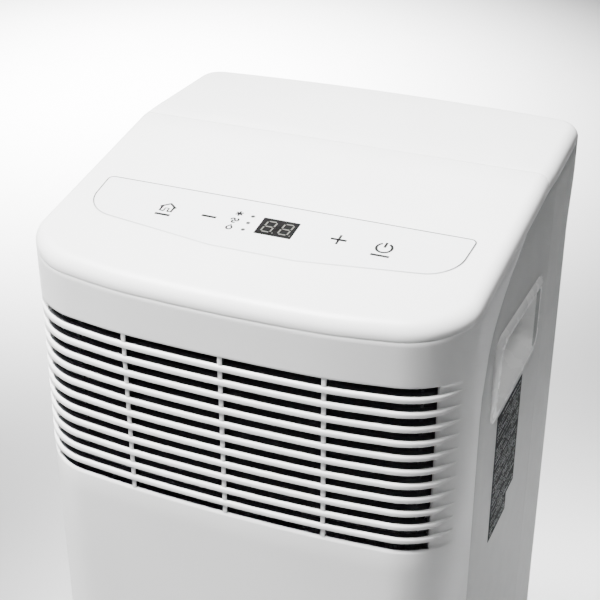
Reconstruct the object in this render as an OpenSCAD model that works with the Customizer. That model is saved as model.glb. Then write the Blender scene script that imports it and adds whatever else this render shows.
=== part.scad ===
// Compact portable air conditioner with a dehumidifying mode.
// +X is the right-hand side seen from the front, the front faces -Y and +Z is up.
// The origin is on the floor, under the middle of the overall box.

/* [Cabinet] */
// Greatest width of the cabinet, at the rear of its sides
body_w = 300.4; // [296:0.2:304]
// Depth from the middle of the bowed front to the middle of the bowed back
body_d = 304; // [300:1:310]
// Height of the top crease above the floor
body_h = 630; // [625:1:640]
// Radius of the two front corners in plan
front_r = 44; // [36:1:48]
// Radius of the two rear corners in plan
rear_r = 18; // [12:1:24]
// How far the middle of the front bulges forward
front_bow = 4.4; // [3:0.1:6]
// How far the middle of the back bulges backward
rear_bow = 6.3; // [4:0.1:7]
// Wall thickness of the moulded shells
wall = 2.5; // [2:0.1:3]
// Gap shown at the seams between shells
seam = 0.5; // [0.3:0.1:0.8]

/* [Top] */
// Distance from the front face to the crease across the top
crease_depth = 189; // [185:1:195]
// Rise of the control lid towards the crease, in degrees
lid_slope = 7.46; // [6:0.01:9]
// Fall of the rear top behind the crease, in degrees
cap_slope = -1; // [-2:0.1:0]
// Radius of the rounded top edge
rim_r = 9; // [7:1:12]
// Height of the skirt of the lid
skirt_h = 11; // [10:0.5:14]
// How much further out the rear of the top stands than the sides below it
flare = 1.5; // [0:0.5:4]

/* [Grille] */
// Height of the bottom of the outlet grille above the floor
grille_z = 448; // [440:1:455]
// Height of the outlet grille
grille_h = 117; // [110:1:120]
// Number of slots in the outlet grille
slots = 12; // [8:1:14]
// Half length of the slots
slot_half = 132; // [124:1:134]
// Spacing of the vertical ribs
rib_pitch = 66.4; // [60:0.2:68]
// Height of one slat
slat_h = 4.1; // [3:0.1:5]

/* [Handles] */
// Length of the raised handle frame
handle_l = 116; // [110:1:120]
// Height of the raised handle frame
handle_h = 66; // [60:1:70]
// Depth of the finger recess
handle_depth = 26; // [22:1:28]

/* [Air path] */
// Radius of the two blower wheels
fan_r = 60; // [54:1:62]
// Bore radius of the exhaust collar
exhaust_r = 60; // [55:1:61]
// Travel of each control key
key_travel = 0.5; // [0.3:0.1:0.6]

/* [Casters] */
// Radius of a caster wheel
wheel_r = 16; // [15:0.5:17]
// Width of a caster wheel
wheel_w = 12; // [10:0.5:13]
// Distance a wheel trails behind its swivel stem
trail = 9; // [7:1:11]

/* [Hidden] */
$fn = 48;
eps = 0.01;
big = 400;

// The plug caps reach past the bowed back, and the slats stand proud of the bowed front.
rear_reach = 6;
slat_proud = 0.6;
front_y = (slat_proud - body_d - rear_reach) / 2;
rear_y = front_y + body_d;

// Plan of the cabinet.
side_half = body_w / 2;
front_half = side_half - 3;
rear_half = side_half - 3.2;
bend_y = front_y + 207;
end_angle = 5;
corner_x = front_half - front_r;
corner_y = front_y + front_bow + front_r * cos(end_angle);
rear_x = rear_half - rear_r;
rear_corner_y = rear_y - rear_bow - rear_r * cos(end_angle);
taper_a = atan((side_half - front_half) / (bend_y - corner_y));

function arc(c, r, a0, a1, n) =
    [for (i = [0:n]) c + r * [cos(a0 + (a1 - a0) * i / n), sin(a0 + (a1 - a0) * i / n)]];

function half_plan(d, f) = let(
    fr = front_r - d,
    rr = rear_r - d,
    fx = corner_x + fr * sin(end_angle),
    rx = rear_x + f + rr * sin(end_angle)
) concat(
    [for (i = [0:7]) [fx * i / 8, front_y + d + front_bow * pow(i / 8, 2)]],
    arc([corner_x, corner_y], fr, end_angle - 90, 0, 10),
    [[side_half + f / 4 - d, bend_y]],
    arc([rear_x + f, rear_corner_y], rr, 0, 90 - end_angle, 6),
    [for (i = [7:-1:0]) [rx * i / 8, rear_y - d - rear_bow * pow(i / 8, 2)]]
);

// Closed plan, set in by d, with its rear stood out by f.
function plan(d = 0, f = 0) = let(h = half_plan(d, f)) concat(
    h,
    [for (i = [len(h) - 2:-1:1]) [-h[i][0], h[i][1]]]
);

// Half width of the cabinet side at a depth y ahead of the bend.
function side_x(y) = side_half - (bend_y - y) * tan(taper_a);

// Top surface.
crease_y = front_y + crease_depth;
function lid_z(y) = body_h + (y - crease_y) * tan(lid_slope);
function cap_z(y) = body_h + (y - crease_y) * tan(cap_slope);

// Heights inside the cabinet.
skirt_z = 34;
pan_z = 36;
pan_floor = 3;
pan_top = pan_z + pan_floor;
divider_z = 350;
upper_fan_z = 430;
lower_fan_z = 150;
exhaust_z = 285;
drum_r = 74;
drum_d = 58;
upper_drum_y = 45;
lower_drum_y = 40;
coil_y = 107;
coil_t = 23;
motor_r = 29;
motor_l = 42;
shaft_r = 4;
run_gap = 0.06;

// Rear openings.
filter_half = 105;
filter_z = 378;
filter_h = 202;
intake_z = 68;
intake_h = 138;
fit_gap = 0.4;

// Front seam on the sides: upright below, then an arc that sweeps back to the lid.
seam_y = front_y + 56;
seam_arc_r = 86;
seam_arc_z = 523;
seam_end = seam_y + 0.93 * seam_arc_r;

// Slats and ribs are thin; behind each slat stands one blade of the inner guard.
slot_pitch = (grille_h + slat_h) / slots;
slat_back = 1.3;
rib_front = 0.4;
rib_w = 3.2;
hollow_half = slot_half + 9;
hollow_d = 1;
guard_in = 1.6;
guard_out = 5.6;
guard_half = slot_half - 1;
guard_t = 1.4;
guard_drop = 0.2;
guard_bar = 1.4;
guard_bar_x = [guard_bar / 2 - guard_half, -rib_pitch, 0, rib_pitch, guard_half - guard_bar / 2];

// Handles and label.
handle_y = front_y + 138;
handle_z = 531;
handle_corner = 14;
handle_lip = 2.5;
handle_wall = 2;
cup_inset = 8.4;
cup_gap = 0.6;
label_y = front_y + 131;
label_z = 448;
label_t = 0.3;

// Controls, measured on the sloping lid.
panel_y = front_y + 77.8;
key_x = [-71.5, -41.8, 46.1, 75.6];
led_x = -14.9;
led_pitch = 7.8;
window_x = 5;
window_w = 25;
window_d = 18.6;
film_y = front_y + 75;
film_t = 0.6;
film_half = 126.8;
film_back = 27.9;
film_corner = 4;
film_bend = 25;
film_bend_x = 100.8;
film_bend_y = 8.7;
film_nose_r = 6;
film_nose_x = 28;
film_nose_y = -20.8;
film_in = 0.4;
led_r = 1;
key_r = 8;
key_face = -1.5;
key_foot = -8.3;
key_gap = 0.3;
key_stem_r = 3;
switch_base = -10.2;
board_z = -14;

// Compressor.
comp_x = -78;
comp_y = -70;
comp_r = 50;
foot_r = 60;
foot_a = [20, 140, 260];
foot_z = 52;
foot_t = 4.2;
post_r = 3;

// Accumulator beside the compressor, and the runs of copper pipe.
acc_x = -8;
acc_y = -92;
acc_r = 22;
suction_x = 126;
suction_z = 409;
discharge_x = -124;
discharge_z = 174;
capillary_x = 131;

// Rear fittings: places are [x, z].
drain_low = [-88, 52];
drain_high = [96, 361];
drain_r = 4.5;
gland = [124, 72];
gland_r = 7;
cord_r = 4;
screw_x = 118;
screw_z = [215, 375, 596];
screws = [for (s = [-1, 1], z = screw_z) [s * screw_x, z]];

// Float and splasher in the base pan.
float_p = [112, -22];
splash_p = [114, 66];
pin_r = 2;

// Casters.
caster_x = 112;
caster_front_y = -98;
caster_rear_y = 108;
stem_r = 4;

// Colours.
shell_c = "white";
dark_c = "#3a3c3d";
foam_c = "gainsboro";
copper_c = "peru";

module prism_x(w = 2 * big) {
    rotate([90, 0, 90]) linear_extrude(w, center = true) children();
}

module rod_y(r, y0, y1, z, x = 0) {
    translate([x, y0, z]) rotate([-90, 0, 0]) cylinder(r = r, h = y1 - y0);
}

module block(p0, p1) {
    translate(p0) cube(p1 - p0);
}

module rounded(w, h, r) {
    square([w - 2 * r, h], center = true);
    square([w, h - 2 * r], center = true);
    for (i = [-1, 1], j = [-1, 1]) translate([i * (w / 2 - r), j * (h / 2 - r)]) circle(r);
}

// Everything below the skirts of the lid and the rear cap.
module under_top(drop) {
    prism_x() polygon([
        [front_y - 20, 0],
        [front_y - 20, lid_z(front_y - 20) - drop],
        [crease_y, body_h - drop],
        [rear_y + 20, cap_z(rear_y + 20) - drop],
        [rear_y + 20, 0]
    ]);
}

module shell_ring(d0, d1, f = 0) {
    difference() {
        polygon(plan(d0, f));
        polygon(plan(d1, f));
    }
}

// A strip of the front or back wall, bent to the plan of the cabinet.
module front_band(d0, d1, half, z0, z1) {
    translate([0, 0, z0]) linear_extrude(z1 - z0) intersection() {
        shell_ring(d0, d1);
        translate([-half, front_y - 5]) square([2 * half, 60]);
    }
}

module rear_band(d0, d1, half, z0, z1) {
    translate([0, 0, z0]) linear_extrude(z1 - z0) intersection() {
        shell_ring(d0, d1);
        translate([-half, rear_y - 30]) square([2 * half, 40]);
    }
}

module seam_front() {
    prism_x() difference() {
        translate([front_y - 10, 0]) square([seam_end - front_y + 10, big * 2]);
        translate([seam_y, -1]) square([seam_arc_r + 1, seam_arc_z + 1]);
        translate([seam_y + seam_arc_r, seam_arc_z]) circle(seam_arc_r, $fn = 120);
    }
}

module seam_rear() {
    prism_x() union() {
        translate([seam_y + seam, 0]) square([big, seam_arc_z]);
        translate([seam_end + seam, 0]) square([big, big * 2]);
        translate([seam_y + seam_arc_r, seam_arc_z]) circle(seam_arc_r - seam, $fn = 120);
    }
}

module shell_body() {
    intersection() {
        translate([0, 0, skirt_z]) linear_extrude(body_h) shell_ring(0, wall);
        under_top(skirt_h + seam);
    }
}

module front_panel() {
    color(shell_c) {
        difference() {
            intersection() {
                shell_body();
                seam_front();
            }
            front_band(-1, wall + 1, slot_half, grille_z, grille_z + grille_h);
            front_band(-1, hollow_d, hollow_half, grille_z, grille_z + grille_h);
        }
        for (i = [1:slots - 1])
            front_band(-slat_proud, slat_back, hollow_half,
                grille_z + i * slot_pitch - slat_h, grille_z + i * slot_pitch);
        for (i = [-1:1]) intersection() {
            front_band(rib_front, slat_back, slot_half, grille_z - 1, grille_z + grille_h + 1);
            translate([i * rib_pitch - rib_w / 2, -big, 0]) cube([rib_w, 2 * big, 2 * big]);
        }
    }
}

module handle_frame(grow, d) {
    linear_extrude(d) rounded(handle_l + grow, handle_h + grow, handle_corner + grow / 2);
}

// Local frame on a cabinet side: Z points straight out of the side surface.
module on_side(s, y, z) {
    mirror([s < 0 ? 1 : 0, 0, 0])
        translate([side_x(y), y, z]) rotate([0, 0, -taper_a]) rotate([90, 0, 90]) children();
}

module handle_cup(s) {
    color(shell_c) on_side(s, handle_y, handle_z) difference() {
        union() {
            translate([0, 0, 0.05]) handle_frame(0, handle_lip);
            translate([0, 0, -handle_depth]) handle_frame(-cup_inset, handle_depth + 1);
        }
        translate([0, 0, handle_wall - handle_depth])
            handle_frame(-cup_inset - 2 * handle_wall - 0.6, handle_depth + 10);
    }
}

module side_panel(s) {
    color(shell_c) difference() {
        intersection() {
            shell_body();
            seam_rear();
            translate([s > 0 ? rear_x : -rear_x - big, bend_y - seam / 2 - big, 0])
                cube([big, big, 2 * big]);
        }
        on_side(s, handle_y, handle_z)
            translate([0, 0, -8]) handle_frame(cup_gap - cup_inset, 16);
    }
}

module rear_housing() {
    color(shell_c) difference() {
        intersection() {
            shell_body();
            translate([-big, bend_y + seam / 2, 0]) cube([2 * big, big, 2 * big]);
        }
        rear_band(-1, wall + 1, filter_half + fit_gap, filter_z - fit_gap,
            filter_z + filter_h + fit_gap);
        rear_band(-1, wall + 1, filter_half + fit_gap, intake_z - fit_gap,
            intake_z + intake_h + fit_gap);
        rod_y(exhaust_r + 3, rear_y - 30, rear_y + 5, exhaust_z);
        rod_y(8, rear_y - 30, rear_y + 5, drain_low[1], drain_low[0]);
        rod_y(8, rear_y - 30, rear_y + 5, drain_high[1], drain_high[0]);
        rod_y(gland_r + 0.1, rear_y - 30, rear_y + 5, gland[1], gland[0]);
        for (p = screws) rod_y(2.1, rear_y - 30, rear_y + 5, p[1], p[0]);
    }
}

module housing_screws() {
    color("silver") for (p = screws) {
        y = rear_y - rear_bow * pow(p[0] / rear_half, 2) + 0.8;
        rod_y(2, y - 12, y, p[1], p[0]);
        difference() {
            rod_y(3.8, y - eps, y + 2, p[1], p[0]);
            translate([p[0], y + 1.5, p[1]]) cube([4.6, 2, 1], center = true);
            translate([p[0], y + 1.5, p[1]]) cube([1, 2, 4.6], center = true);
        }
    }
}

// Rounded block over the whole plan, set in by d, with its top tilted by the slope.
module tilted_top(slope, d) {
    steps = 5;
    slice = 0.4;
    r = rim_r - d;
    low = skirt_h + (d > 0 ? 5 : 0);
    multmatrix([
        [1, 0, 0, 0],
        [0, 1, 0, 0],
        [0, tan(slope), 1, body_h - crease_y * tan(slope)],
        [0, 0, 0, 1]
    ]) hull() {
        translate([0, 0, -low]) linear_extrude(low - rim_r) polygon(plan(d, flare));
        for (i = [1:steps]) translate([0, 0, r * sin(90 * i / steps) - rim_r - slice])
            linear_extrude(slice) polygon(plan(d + r * (1 - cos(90 * i / steps)), flare));
    }
}

module on_lid(x, y) {
    translate([x, y, lid_z(y)]) rotate([lid_slope, 0, 0]) children();
}

module control_lid() {
    color(shell_c) difference() {
        union() {
            difference() {
                tilted_top(lid_slope, 0);
                tilted_top(lid_slope, wall);
                translate([-big, crease_y, 0]) cube(2 * big);
            }
            for (x = key_x) on_lid(x, panel_y) translate([0, 0, -6]) cylinder(r = key_r + 3, h = 5);
        }
        on_lid(0, film_y) translate([0, 0, -film_in]) linear_extrude(5) film_outline(0.3);
        for (x = key_x) on_lid(x, panel_y) {
            translate([0, 0, key_face - 0.9]) cylinder(r = key_r + 0.5, h = 3);
            translate([0, 0, -8]) cylinder(r = key_stem_r + run_gap, h = 8);
        }
        on_lid(window_x, panel_y) cube([window_w + 0.6, window_d + 0.6, 20], center = true);
        for (i = [-1:1]) on_lid(led_x, panel_y + i * led_pitch * cos(lid_slope))
            cylinder(r = led_r + 0.3, h = 20, center = true);
    }
}

module rear_top_cap() {
    color(shell_c) difference() {
        tilted_top(cap_slope, 0);
        tilted_top(cap_slope, wall);
        translate([-big, crease_y + seam - 2 * big, 0]) cube(2 * big);
    }
}

// Outline of the control film: straight at the back, bowed at the front, rounded corners.
module film_outline(grow = 0) {
    offset(delta = grow) hull() for (s = [-1, 1]) {
        translate([s * (film_half - film_corner), film_back - film_corner]) circle(film_corner);
        translate([s * film_bend_x, film_bend_y]) intersection() {
            circle(film_bend);
            translate([-film_bend, -film_bend]) square([2 * film_bend, film_bend]);
        }
        translate([s * film_nose_x, film_nose_y]) circle(film_nose_r);
    }
}

module control_overlay() {
    color("whitesmoke") difference() {
        on_lid(0, film_y) translate([0, 0, 0.02 - film_in])
            linear_extrude(film_t) film_outline();
        on_lid(window_x, panel_y) cube([window_w + 0.3, window_d + 0.3, 20], center = true);
        for (i = [-1:1]) on_lid(led_x, panel_y + i * led_pitch * cos(lid_slope))
            cylinder(r = led_r + 0.15, h = 20, center = true);
    }
}

module display_window() {
    color("dimgray") on_lid(window_x, panel_y) translate([-window_w / 2, -window_d / 2, -1.4])
        cube([window_w, window_d, 1.55]);
}

module led(i) {
    color("lightgray") on_lid(led_x, panel_y + i * led_pitch * cos(lid_slope)) {
        translate([0, 0, -12.4]) cylinder(r = led_r, h = 12.5);
        translate([0, 0, -12.4]) cylinder(r = 1.5, h = 4);
    }
}

module control_key(i) {
    color("ivory") on_lid(key_x[i], panel_y) {
        translate([0, 0, key_face]) cylinder(r = key_r, h = 0.8);
        translate([0, 0, key_foot]) cylinder(r = key_stem_r, h = key_face - key_foot + 0.2);
    }
}

module control_board() {
    color("darkgreen") {
        on_lid(0, panel_y) translate([-95, -22, board_z]) cube([190, 44, 1.6]);
        on_lid(window_x, panel_y) translate([-12.4, -9.2, -12.6]) cube([24.8, 18.4, 11]);
        for (x = key_x) on_lid(x, panel_y) {
            translate([-3, -3, -12.6]) cube([6, 6, 2.5]);
            translate([0, 0, switch_base])
                cylinder(r = 1.7, h = key_foot - key_travel - key_gap - switch_base);
        }
    }
}

module outlet_guard() {
    color(dark_c) {
        for (i = [1:slots - 1]) {
            z = grille_z + i * slot_pitch - guard_t - guard_drop;
            front_band(guard_in, guard_out, guard_half, z, z + guard_t);
        }
        for (x = guard_bar_x) intersection() {
            front_band(wall + 0.4, guard_out - 0.2, guard_half, grille_z - 1,
                grille_z + grille_h + 1);
            translate([x - guard_bar / 2, -big, 0])
                cube([guard_bar, 2 * big, 2 * big]);
        }
    }
}

module rating_label() {
    color(dark_c) on_side(1, label_y, label_z) translate([0, 0, 0.03]) linear_extrude(label_t)
        polygon([[-31, 45], [31, 45], [31, -42], [12, -42], [12, -56], [-31, -56]]);
}

module base_pan() {
    color("#2f3133") difference() {
        union() {
            translate([0, 0, pan_z]) linear_extrude(pan_floor) polygon(plan(wall + 0.5));
            translate([0, 0, pan_z]) linear_extrude(26) shell_ring(wall + 0.5, wall + 2.5);
            for (s = [-1, 1], y = [caster_front_y, caster_rear_y])
                translate([s * caster_x, y, pan_z]) cylinder(r = 8, h = 20);
            for (a = foot_a) translate([comp_x + foot_r * cos(a), comp_y + foot_r * sin(a), pan_z])
                cylinder(r = post_r, h = 22);
            rod_y(7, rear_y - 12, rear_y + 0.5, drain_low[1], drain_low[0]);
        }
        for (s = [-1, 1], y = [caster_front_y, caster_rear_y])
            translate([s * caster_x, y, pan_z - 1]) cylinder(r = stem_r + run_gap, h = 17);
        rod_y(drain_r, rear_y - 20, rear_y + 5, drain_low[1], drain_low[0]);
    }
}

module divider_tray() {
    color(foam_c) difference() {
        union() {
            translate([0, 0, divider_z]) linear_extrude(3) polygon(plan(wall + 1.5));
            translate([0, 0, divider_z]) linear_extrude(18) shell_ring(wall + 1.5, wall + 4);
            rod_y(6.5, rear_y - 12, rear_y + 0.5, drain_high[1], drain_high[0]);
        }
        rod_y(drain_r, rear_y - 20, rear_y + 5, drain_high[1], drain_high[0]);
        translate([suction_x, coil_y + 12, divider_z - 1]) cylinder(r = 7, h = 9);
        translate([-capillary_x, coil_y + 4, divider_z - 1]) cylinder(r = 4, h = 9);
    }
}

// A rear cover bent to the bowed back: a rim with evenly spaced bars.
module rear_grille(z0, h, bars) {
    difference() {
        rear_band(0, wall, filter_half, z0, z0 + h);
        for (i = [0:bars - 1], s = [-1, 1])
            translate([s * 49.5, 0, z0 + 10 + (h - 20) * (i + 0.5) / bars])
                cube([90, 2 * big, (h - 20) / bars - 2.4], center = true);
    }
}

module filter_frame() {
    color(shell_c) {
        intersection() {
            rear_grille(filter_z, filter_h, 20);
            translate([-big, 0, 0]) cube(2 * big);
        }
        rear_band(wall - 0.5, wall + 3, filter_half - 2, filter_z + 1, filter_z + 6);
        rear_band(wall - 0.5, wall + 3, filter_half - 2, filter_z + filter_h - 6,
            filter_z + filter_h - 1);
        translate([0, rear_y, filter_z + filter_h - 5]) cube([30, 5, 3], center = true);
    }
}

module filter_mesh() {
    color("darkslategray")
        rear_band(wall + 0.6, wall + 1.4, filter_half - 4, filter_z + 6.2, filter_z + filter_h - 6.2);
}

module lower_intake_grille() {
    color(shell_c) intersection() {
        rear_grille(intake_z, intake_h, 14);
        translate([-big, 0, 0]) cube(2 * big);
    }
}

module exhaust_collar() {
    color(shell_c) difference() {
        union() {
            rod_y(exhaust_r + 2.5, coil_y + 14, rear_y + 2.5, exhaust_z);
            rod_y(exhaust_r + 9, rear_y + 0.2, rear_y + 2.5, exhaust_z);
        }
        rod_y(exhaust_r, coil_y, rear_y + 5, exhaust_z);
    }
}

module cord_gland() {
    y = rear_y - rear_bow * pow(gland[0] / rear_half, 2);
    color(dark_c) difference() {
        union() {
            rod_y(gland_r, y - 9, y + 1, gland[1], gland[0]);
            rod_y(10, y + 0.6, y + 3.5, gland[1], gland[0]);
        }
        rod_y(cord_r, y - 10, y + 5, gland[1], gland[0]);
    }
}

module drain_plug(p) {
    color(dark_c) {
        rod_y(drain_r - run_gap, rear_y - 9, rear_y + 1.5, p[1], p[0]);
        difference() {
            rod_y(8, rear_y + 0.9, rear_y + rear_reach, p[1], p[0]);
            for (s = [-1, 1]) translate([p[0], rear_y + 4.4, p[1] + s * 5.5])
                cube([20, 4, 6], center = true);
        }
    }
}

// Fin pack with end plates and return bends.
module coil(z0, z1) {
    bends = floor((z1 - z0) / 32);
    y = coil_y + coil_t / 2;
    block([-103, coil_y, z0], [103, coil_y + coil_t, z1]);
    for (s = [-1, 1]) {
        block([s * 104.5 - 1.5, coil_y - 1, z0 - 2], [s * 104.5 + 1.5, coil_y + coil_t + 1, z1 + 2]);
        for (i = [0:bends - 1])
            translate([s * 105.5, y, z0 + (i + 0.5) * (z1 - z0) / bends])
                rotate([90, s > 0 ? 0 : 180, 0]) rotate([0, 0, -90])
                    rotate_extrude(angle = 180) translate([8, 0]) circle(3.2, $fn = 24);
    }
}

module evaporator_coil() {
    color("silver") coil(376, 574);
}

module condenser_coil() {
    color("silver") coil(66, 210);
}

// Round fan chamber, open to the coil behind it.
module drum(y0, z, t) {
    rod_y(drum_r - t, y0 + t, y0 + drum_d - t, z);
}

duct_z = 470;
duct_top = 573;
duct_front = -121;

module duct_solid(t) {
    prism_x(236 - 2 * t) polygon([
        [upper_drum_y + drum_d - t, duct_z + t],
        [upper_drum_y + drum_d - t, duct_top - t],
        [duct_front - (t > 0 ? 1 : 0), duct_top - t],
        [duct_front - (t > 0 ? 1 : 0), grille_z - 4 + t],
        [duct_front + 20, grille_z - 4 + t],
        [-20, duct_z + t]
    ]);
}

module upper_scroll() {
    color(dark_c) difference() {
        union() {
            drum(upper_drum_y, upper_fan_z, 0);
            duct_solid(0);
        }
        drum(upper_drum_y, upper_fan_z, 2);
        duct_solid(2);
        rod_y(46, upper_drum_y + drum_d - 5, upper_drum_y + drum_d + 5, upper_fan_z);
        rod_y(10, upper_drum_y - 5, upper_drum_y + 5, upper_fan_z);
    }
}

module lower_scroll() {
    x = exhaust_r + 5;
    color(foam_c) difference() {
        union() {
            drum(lower_drum_y, lower_fan_z, 0);
            block([-x, lower_drum_y, 214], [x, coil_y + 13.6, 348.5]);
        }
        drum(lower_drum_y, lower_fan_z, 2);
        block([-x + 2, lower_drum_y + 2, 216], [x - 2, coil_y + 11.6, 346.5]);
        rod_y(46, lower_drum_y + drum_d - 5, lower_drum_y + drum_d + 5, lower_fan_z);
        rod_y(10, lower_drum_y - 5, lower_drum_y + 5, lower_fan_z);
        rod_y(exhaust_r, coil_y, coil_y + 20, exhaust_z);
    }
}

// Squirrel-cage wheel on its hub.
module blower_wheel(y0, z) {
    blades = 30;
    color("dimgray") {
        difference() {
            union() {
                rod_y(fan_r, y0, y0 + 2, z);
                rod_y(9, y0, y0 + 26, z);
            }
            rod_y(shaft_r, y0 - 1, y0 + 30, z);
        }
        difference() {
            rod_y(fan_r, y0 + 42, y0 + 45, z);
            rod_y(fan_r - 9, y0 + 40, y0 + 50, z);
        }
        for (i = [0:blades - 1]) translate([0, y0 + 1, z]) rotate([0, i * 360 / blades, 0])
            translate([fan_r - 5, 0, 0]) rotate([0, 35, 0]) translate([-4, 0, -0.6])
                cube([8, 42, 1.2]);
    }
}

module fan_motor(y1, z) {
    color("darkgray") difference() {
        union() {
            rod_y(motor_r, y1 - motor_l, y1 - 3, z);
            rod_y(motor_r - 6, y1 - motor_l - 5, y1 - motor_l + 1, z);
            rod_y(9, y1 - 4, y1, z);
            for (a = [45:90:315]) translate([0, y1 - 20, z]) rotate([0, a, 0])
                translate([motor_r - 2, 0, -5]) cube([9, 4, 10]);
        }
        rod_y(shaft_r + run_gap, y1 - motor_l + 4, y1 + 1, z);
    }
}

module motor_shaft(y1, z) {
    color("silver") rod_y(shaft_r, y1 - motor_l + 5, y1 + 32, z);
}

module compressor() {
    color("#26282a") {
        translate([comp_x, comp_y, 0]) {
            translate([0, 0, 70]) cylinder(r = comp_r, h = 136);
            translate([0, 0, 206]) rotate_extrude() intersection() {
                translate([0, -66]) circle(83, $fn = 96);
                square([comp_r, 40]);
            }
            translate([0, 0, 56]) cylinder(r1 = comp_r - 12, r2 = comp_r, h = 14 + eps);
            translate([0, 0, 220]) cylinder(r = 5.5, h = 14);
            translate([20, 14, 212]) cylinder(r = 12, h = 12);
        }
        difference() {
            union() for (a = foot_a) translate([comp_x, comp_y, foot_z]) rotate([0, 0, a]) {
                translate([0, -13, 0]) cube([foot_r, 26, foot_t]);
                translate([foot_r, 0, 0]) cylinder(r = 13, h = foot_t);
            }
            for (a = foot_a) translate([comp_x, comp_y, foot_z - 2]) rotate([0, 0, a])
                translate([foot_r, 0, 0]) cylinder(r = 6, h = 10);
        }
    }
}

module compressor_grommets() {
    color("black") for (a = foot_a) translate([comp_x, comp_y, pan_top]) rotate([0, 0, a])
        translate([foot_r, 0, 0.02]) rotate_extrude() polygon([
            [3.2, 0], [9, 0], [9, 12.8], [5.8, 12.8], [5.8, 17.4], [9, 17.4], [9, 19], [3.2, 19]
        ]);
}

module accumulator() {
    color("#26282a") translate([acc_x, acc_y, 0]) {
        translate([0, 0, 112]) cylinder(r = acc_r, h = 96);
        translate([0, 0, 100]) cylinder(r1 = 8, r2 = acc_r, h = 12 + eps);
        translate([0, 0, 208]) cylinder(r1 = acc_r, r2 = 8, h = 12);
        translate([0, 0, 86]) cylinder(r = 5, h = 15);
        translate([0, 0, 86]) sphere(5.4);
        translate([0, 0, 86]) rotate([0, 0, atan2(comp_y - acc_y, comp_x - acc_x)])
            rotate([0, 90, 0]) cylinder(r = 5, h = 22.5);
    }
}

// Tube along straight runs, with a brazed ball joint at each bend.
module tube_run(pts, r) {
    for (i = [0:len(pts) - 2]) {
        v = pts[i + 1] - pts[i];
        l = norm(v);
        translate(pts[i]) rotate([0, acos(v[2] / l), atan2(v[1], v[0])]) cylinder(r = r, h = l);
        if (i > 0) translate(pts[i]) sphere(r + 0.3);
    }
}

module discharge_pipe() {
    color(copper_c) tube_run([
        [comp_x, comp_y, 234.1], [comp_x, comp_y, 262], [discharge_x, comp_y, 262],
        [discharge_x, coil_y + 14, 262], [discharge_x, coil_y + 14, discharge_z],
        [-106.2, coil_y + 14, discharge_z]
    ], 4);
}

module suction_pipe() {
    color(copper_c) tube_run([
        [106.2, coil_y + 12, suction_z], [suction_x, coil_y + 12, suction_z],
        [suction_x, coil_y + 12, 300],
        [suction_x, -50, 300], [acc_x, -50, 300], [acc_x, acc_y, 300], [acc_x, acc_y, 220.1]
    ], 4.5);
}

module capillary_tube() {
    color(copper_c) tube_run([
        [-106.2, coil_y + 4, 76], [-capillary_x, coil_y + 4, 76],
        [-capillary_x, coil_y + 4, 388], [-106.2, coil_y + 4, 388]
    ], 1.6);
}

module electrical_box() {
    color("lightgray") difference() {
        block([32, -128, 214], [122, -76, 326]);
        block([34, -126, 216], [120, -78, 324]);
    }
}

module run_capacitor() {
    color("gainsboro") translate([78, -102, 150]) {
        cylinder(r = 20, h = 58);
        translate([-4, 8, 57]) cube([8, 1, 6]);
        translate([-4, -9, 57]) cube([8, 1, 6]);
    }
}

module float_stem() {
    color("gainsboro") translate([float_p[0], float_p[1], pan_top + 0.02]) {
        cylinder(r = 9, h = 3);
        cylinder(r = 3, h = 40);
        translate([0, 0, 34]) cylinder(r = 5.5, h = 3);
    }
}

module float_ring() {
    color("whitesmoke") translate([float_p[0], float_p[1], pan_top + 3.4]) difference() {
        cylinder(r = 11, h = 16);
        translate([0, 0, -1]) cylinder(r = 3 + run_gap, h = 20);
    }
}

module splash_motor() {
    color("gainsboro") difference() {
        union() {
            rod_y(15, 28, 52, splash_p[1], splash_p[0]);
            block([splash_p[0] - 10, 30, pan_top + 0.02], [splash_p[0] + 10, 50, 56]);
        }
        rod_y(pin_r + run_gap, 40, 53, splash_p[1], splash_p[0]);
    }
}

module splash_wheel() {
    color("whitesmoke") {
        rod_y(pin_r, 41, 56, splash_p[1], splash_p[0]);
        rod_y(16, 55, 57, splash_p[1], splash_p[0]);
        rod_y(5, 55, 66, splash_p[1], splash_p[0]);
        for (i = [0:7]) translate([splash_p[0], 55, splash_p[1]]) rotate([0, i * 45, 0])
            translate([3, 0, -0.75]) cube([20, 10, 1.5]);
    }
}

// The wheel pin and both cheeks are moulded with the swivel plate.
module caster_fork(x, y) {
    cheek = wheel_w / 2 + 0.5;
    color(dark_c) translate([x, y, 0]) {
        translate([0, 0, 33.2]) cylinder(r = 15, h = 2.4);
        translate([0, 0, 33.5]) cylinder(r = stem_r, h = 16);
        for (s = [-1, 1]) translate([s * (cheek + 1.25), 0, 0]) prism_x(2.5) {
            translate([trail, wheel_r]) circle(6);
            polygon([[-9, 34], [13, 34], [trail + 6, wheel_r], [trail - 5.5, wheel_r - 2]]);
        }
        translate([-cheek - 1, trail, wheel_r]) rotate([0, 90, 0])
            cylinder(r = 2.5, h = 2 * cheek + 2);
    }
}

module caster_wheel(x, y) {
    color("#4a4c4e") translate([x, y + trail, wheel_r]) rotate([0, 90, 0]) rotate_extrude()
        polygon([
            [2.5 + run_gap, -wheel_w / 2], [6, -wheel_w / 2], [7, 1.5 - wheel_w / 2],
            [wheel_r - 3.5, 1.5 - wheel_w / 2], [wheel_r - 2, -wheel_w / 2 + 0.4],
            [wheel_r, -wheel_w / 2 + 2.4], [wheel_r, wheel_w / 2 - 2.4],
            [wheel_r - 2, wheel_w / 2 - 0.4], [wheel_r - 3.5, wheel_w / 2 - 1.5],
            [7, wheel_w / 2 - 1.5], [6, wheel_w / 2], [2.5 + run_gap, wheel_w / 2]
        ]);
}

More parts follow.
